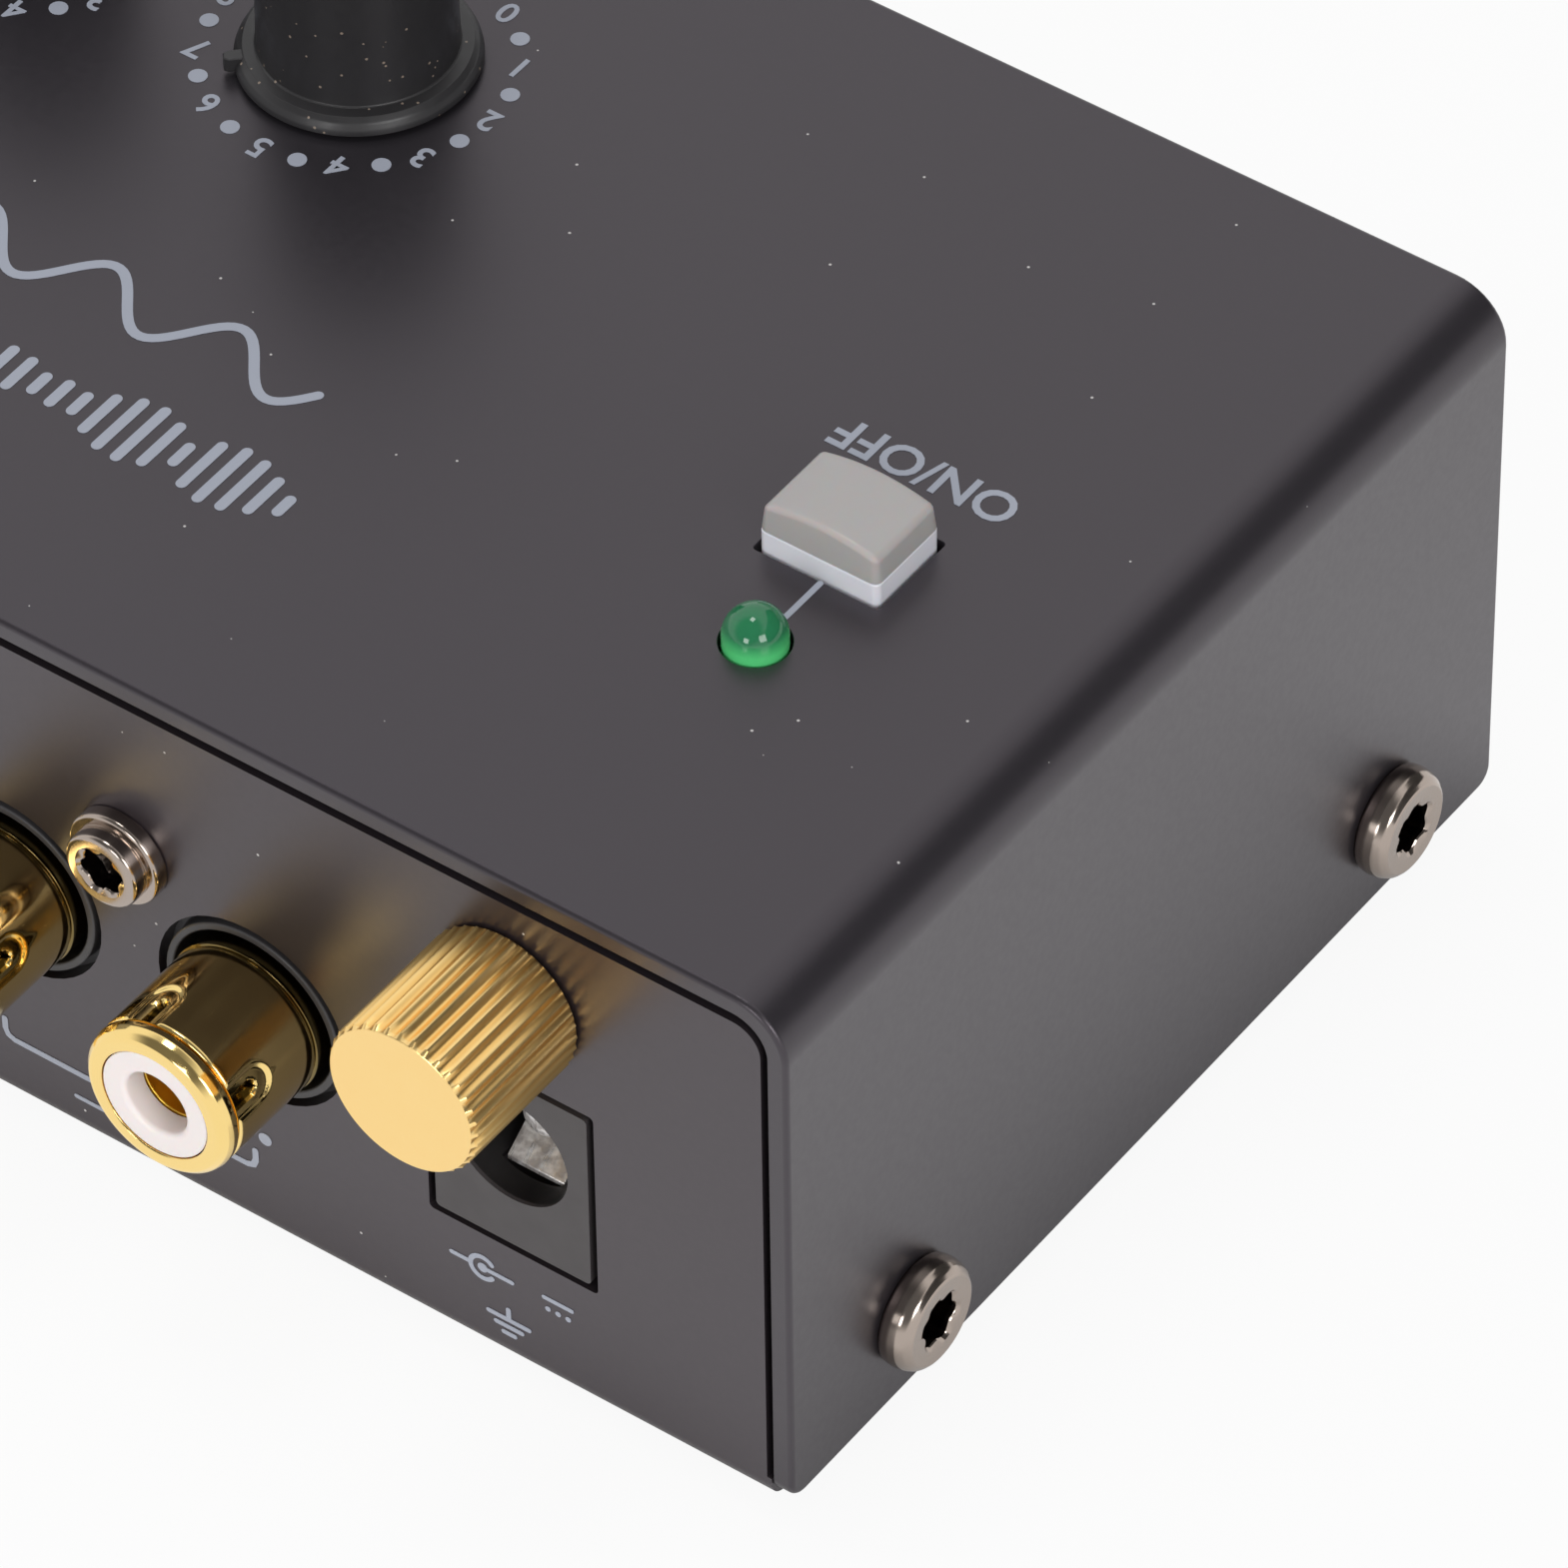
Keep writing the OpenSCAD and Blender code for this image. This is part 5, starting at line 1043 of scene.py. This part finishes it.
def painted_foot_shadow(s):
    """Share of white that reflections see on the floor: less close beside the case, a painted
    shadow there.
    """
    x, y = (s.math("ABSOLUTE", s.place(axis)) for axis in "XY")
    aside = s.math("MAXIMUM", s.math("SUBTRACT", x, COVER_HI.x * MM), 0.0)
    before = s.math("MAXIMUM", s.math("SUBTRACT", y, REAR_Y * MM), 0.0)
    away = s.math("ADD", aside, s.math("MULTIPLY", before, 2.5))
    return s.ramp(away, 0.0, FOOT_SHADE_REACH * MM, 0.05, 0.98)


def stage_plane(name, size, place, material):
    mesh = bpy.data.meshes.new(name)
    h, k = size[0] / 2, size[1] / 2
    mesh.from_pydata([place @ Vector(p) for p in
                      ((-h, -k, 0), (h, -k, 0), (h, k, 0), (-h, k, 0))], [], [(0, 1, 2, 3)])
    mesh.materials.append(material)
    obj = bpy.data.objects.new(name, mesh)
    bpy.context.scene.collection.objects.link(obj)
    return obj


def area_lamp(name, where, size, radiance):
    """Square soft light that faces the object."""
    light = bpy.data.lights.new(name, "AREA")
    light.shape = "SQUARE"
    light.size = size
    light.energy = radiance * math.pi * size * size
    obj = bpy.data.objects.new(name, light)
    obj.location = where
    obj.rotation_mode = "QUATERNION"
    obj.rotation_quaternion = Vector(where).to_track_quat("Z", "Y")
    obj.visible_camera = False
    bpy.context.scene.collection.objects.link(obj)


def room_seen_in_gloss(graph):
    """White walls, and a dark ceiling round the lamps."""
    coord = graph.node("ShaderNodeTexCoord").outputs["Generated"]
    near = graph.node("ShaderNodeVectorMath", {0: coord, 1: DARK_TOWARD},
                      operation="DOT_PRODUCT").outputs["Value"]
    return graph.ramp(near, 0.52, 0.84, SEEN_WHITE, CEILING_SHADE,
                      interpolation_type="SMOOTHSTEP")


def studio():
    world = bpy.data.worlds.new("studio")
    bpy.context.scene.world = world
    world.use_nodes = True
    graph = Graph(world.node_tree)
    back = graph.tree.nodes["Background"]
    back.inputs["Strength"].default_value = 1.0
    lit = graph.mix(graph.seen_by(0.0, 1.0), grey(WORLD_LEVEL), room_seen_in_gloss(graph))
    seen = graph.mix(graph.seen_by(1.0, 0.0), lit, grey(SEEN_WHITE))
    graph.tree.links.new(seen, back.inputs["Color"])
    stage_plane("studio_floor", FLOOR_SIZE, Matrix.Identity(4), floor_material())
    dark = Shader("studio_flag", Roughness=1.0, Base_Color=grey(0.07))
    flag = stage_plane("studio_flag", FLAG_SIZE, flag_place(), dark.material)
    flag.visible_camera = False
    for name, where, size, radiance in LAMPS:
        area_lamp(name, where, size, radiance)


def flag_place():
    """A dark card beyond the object, seen only in its reflections."""
    x, y = FLAG_AWAY * math.cos(FLAG_TOWARD), FLAG_AWAY * math.sin(FLAG_TOWARD)
    return (at(x, y, FLAG_HEIGHT) @ Matrix.Rotation(FLAG_TOWARD - math.pi / 2, 4, "Z")
            @ Matrix.Rotation(math.radians(90), 4, "X"))


AZIMUTH, ELEVATION, ROLL = (math.radians(v) for v in (36.412, 44.928, 0.806))
FOCAL_TO_WIDTH = 12604.36 / 1569      # focal length over the width of the view
SENSOR_W = 36
CORNER_AT = (0.370, 31.29, 547.37)    # the cover's lower rear corner: right, down, away


def camera():
    """The viewing direction and framing of the reference view."""
    aside, rear, up = Vector((-1, 0, 0)), Vector((0, 1, 0)), Vector((0, 0, 1))
    look = -(aside * math.sin(AZIMUTH) * math.cos(ELEVATION)
             + rear * math.cos(AZIMUTH) * math.cos(ELEVATION) + up * math.sin(ELEVATION))
    level = look.cross(up).normalized()
    plumb = look.cross(level)
    right = math.cos(ROLL) * level + math.sin(ROLL) * plumb
    down = -math.sin(ROLL) * level + math.cos(ROLL) * plumb
    corner = Vector((COVER_LO.x, COVER_HI.y, FOOT_H))
    eye = corner - (right * CORNER_AT[0] + down * CORNER_AT[1] + look * CORNER_AT[2])
    data = bpy.data.cameras.new("view")
    data.sensor_width = SENSOR_W
    data.sensor_fit = "HORIZONTAL"
    data.lens = FOCAL_TO_WIDTH * SENSOR_W
    data.clip_start, data.clip_end = 0.05, 20
    obj = bpy.data.objects.new("view", data)
    turn = Matrix((right, -down, -look)).transposed().to_4x4()
    obj.matrix_world = Matrix.Translation(eye * MM) @ turn
    bpy.context.scene.collection.objects.link(obj)
    bpy.context.scene.camera = obj


# ---- Build ----

def build():
    camera()
    cover()
    for node, (slot, width) in DRESSED.items():
        dressed(node, slot, width)
    for node, slot in KEPT.items():
        keep(node, slot)
    side_screws()
    panel_screws()
    sockets("input", INPUT_X)
    sockets("output", -INPUT_X)
    ground_nut()
    knob("level_knob_turned", "level_control", LEVEL_X, LEVEL_MARK, "level_knob")
    knob("volume_knob_turned", "volume_control", VOLUME_X, VOLUME_MARK, "volume_knob")
    button()
    switch_spring()
    lamp()
    top_print()
    rear_print()
    studio()
    bpy.context.scene.view_settings.view_transform = "Standard"


build()
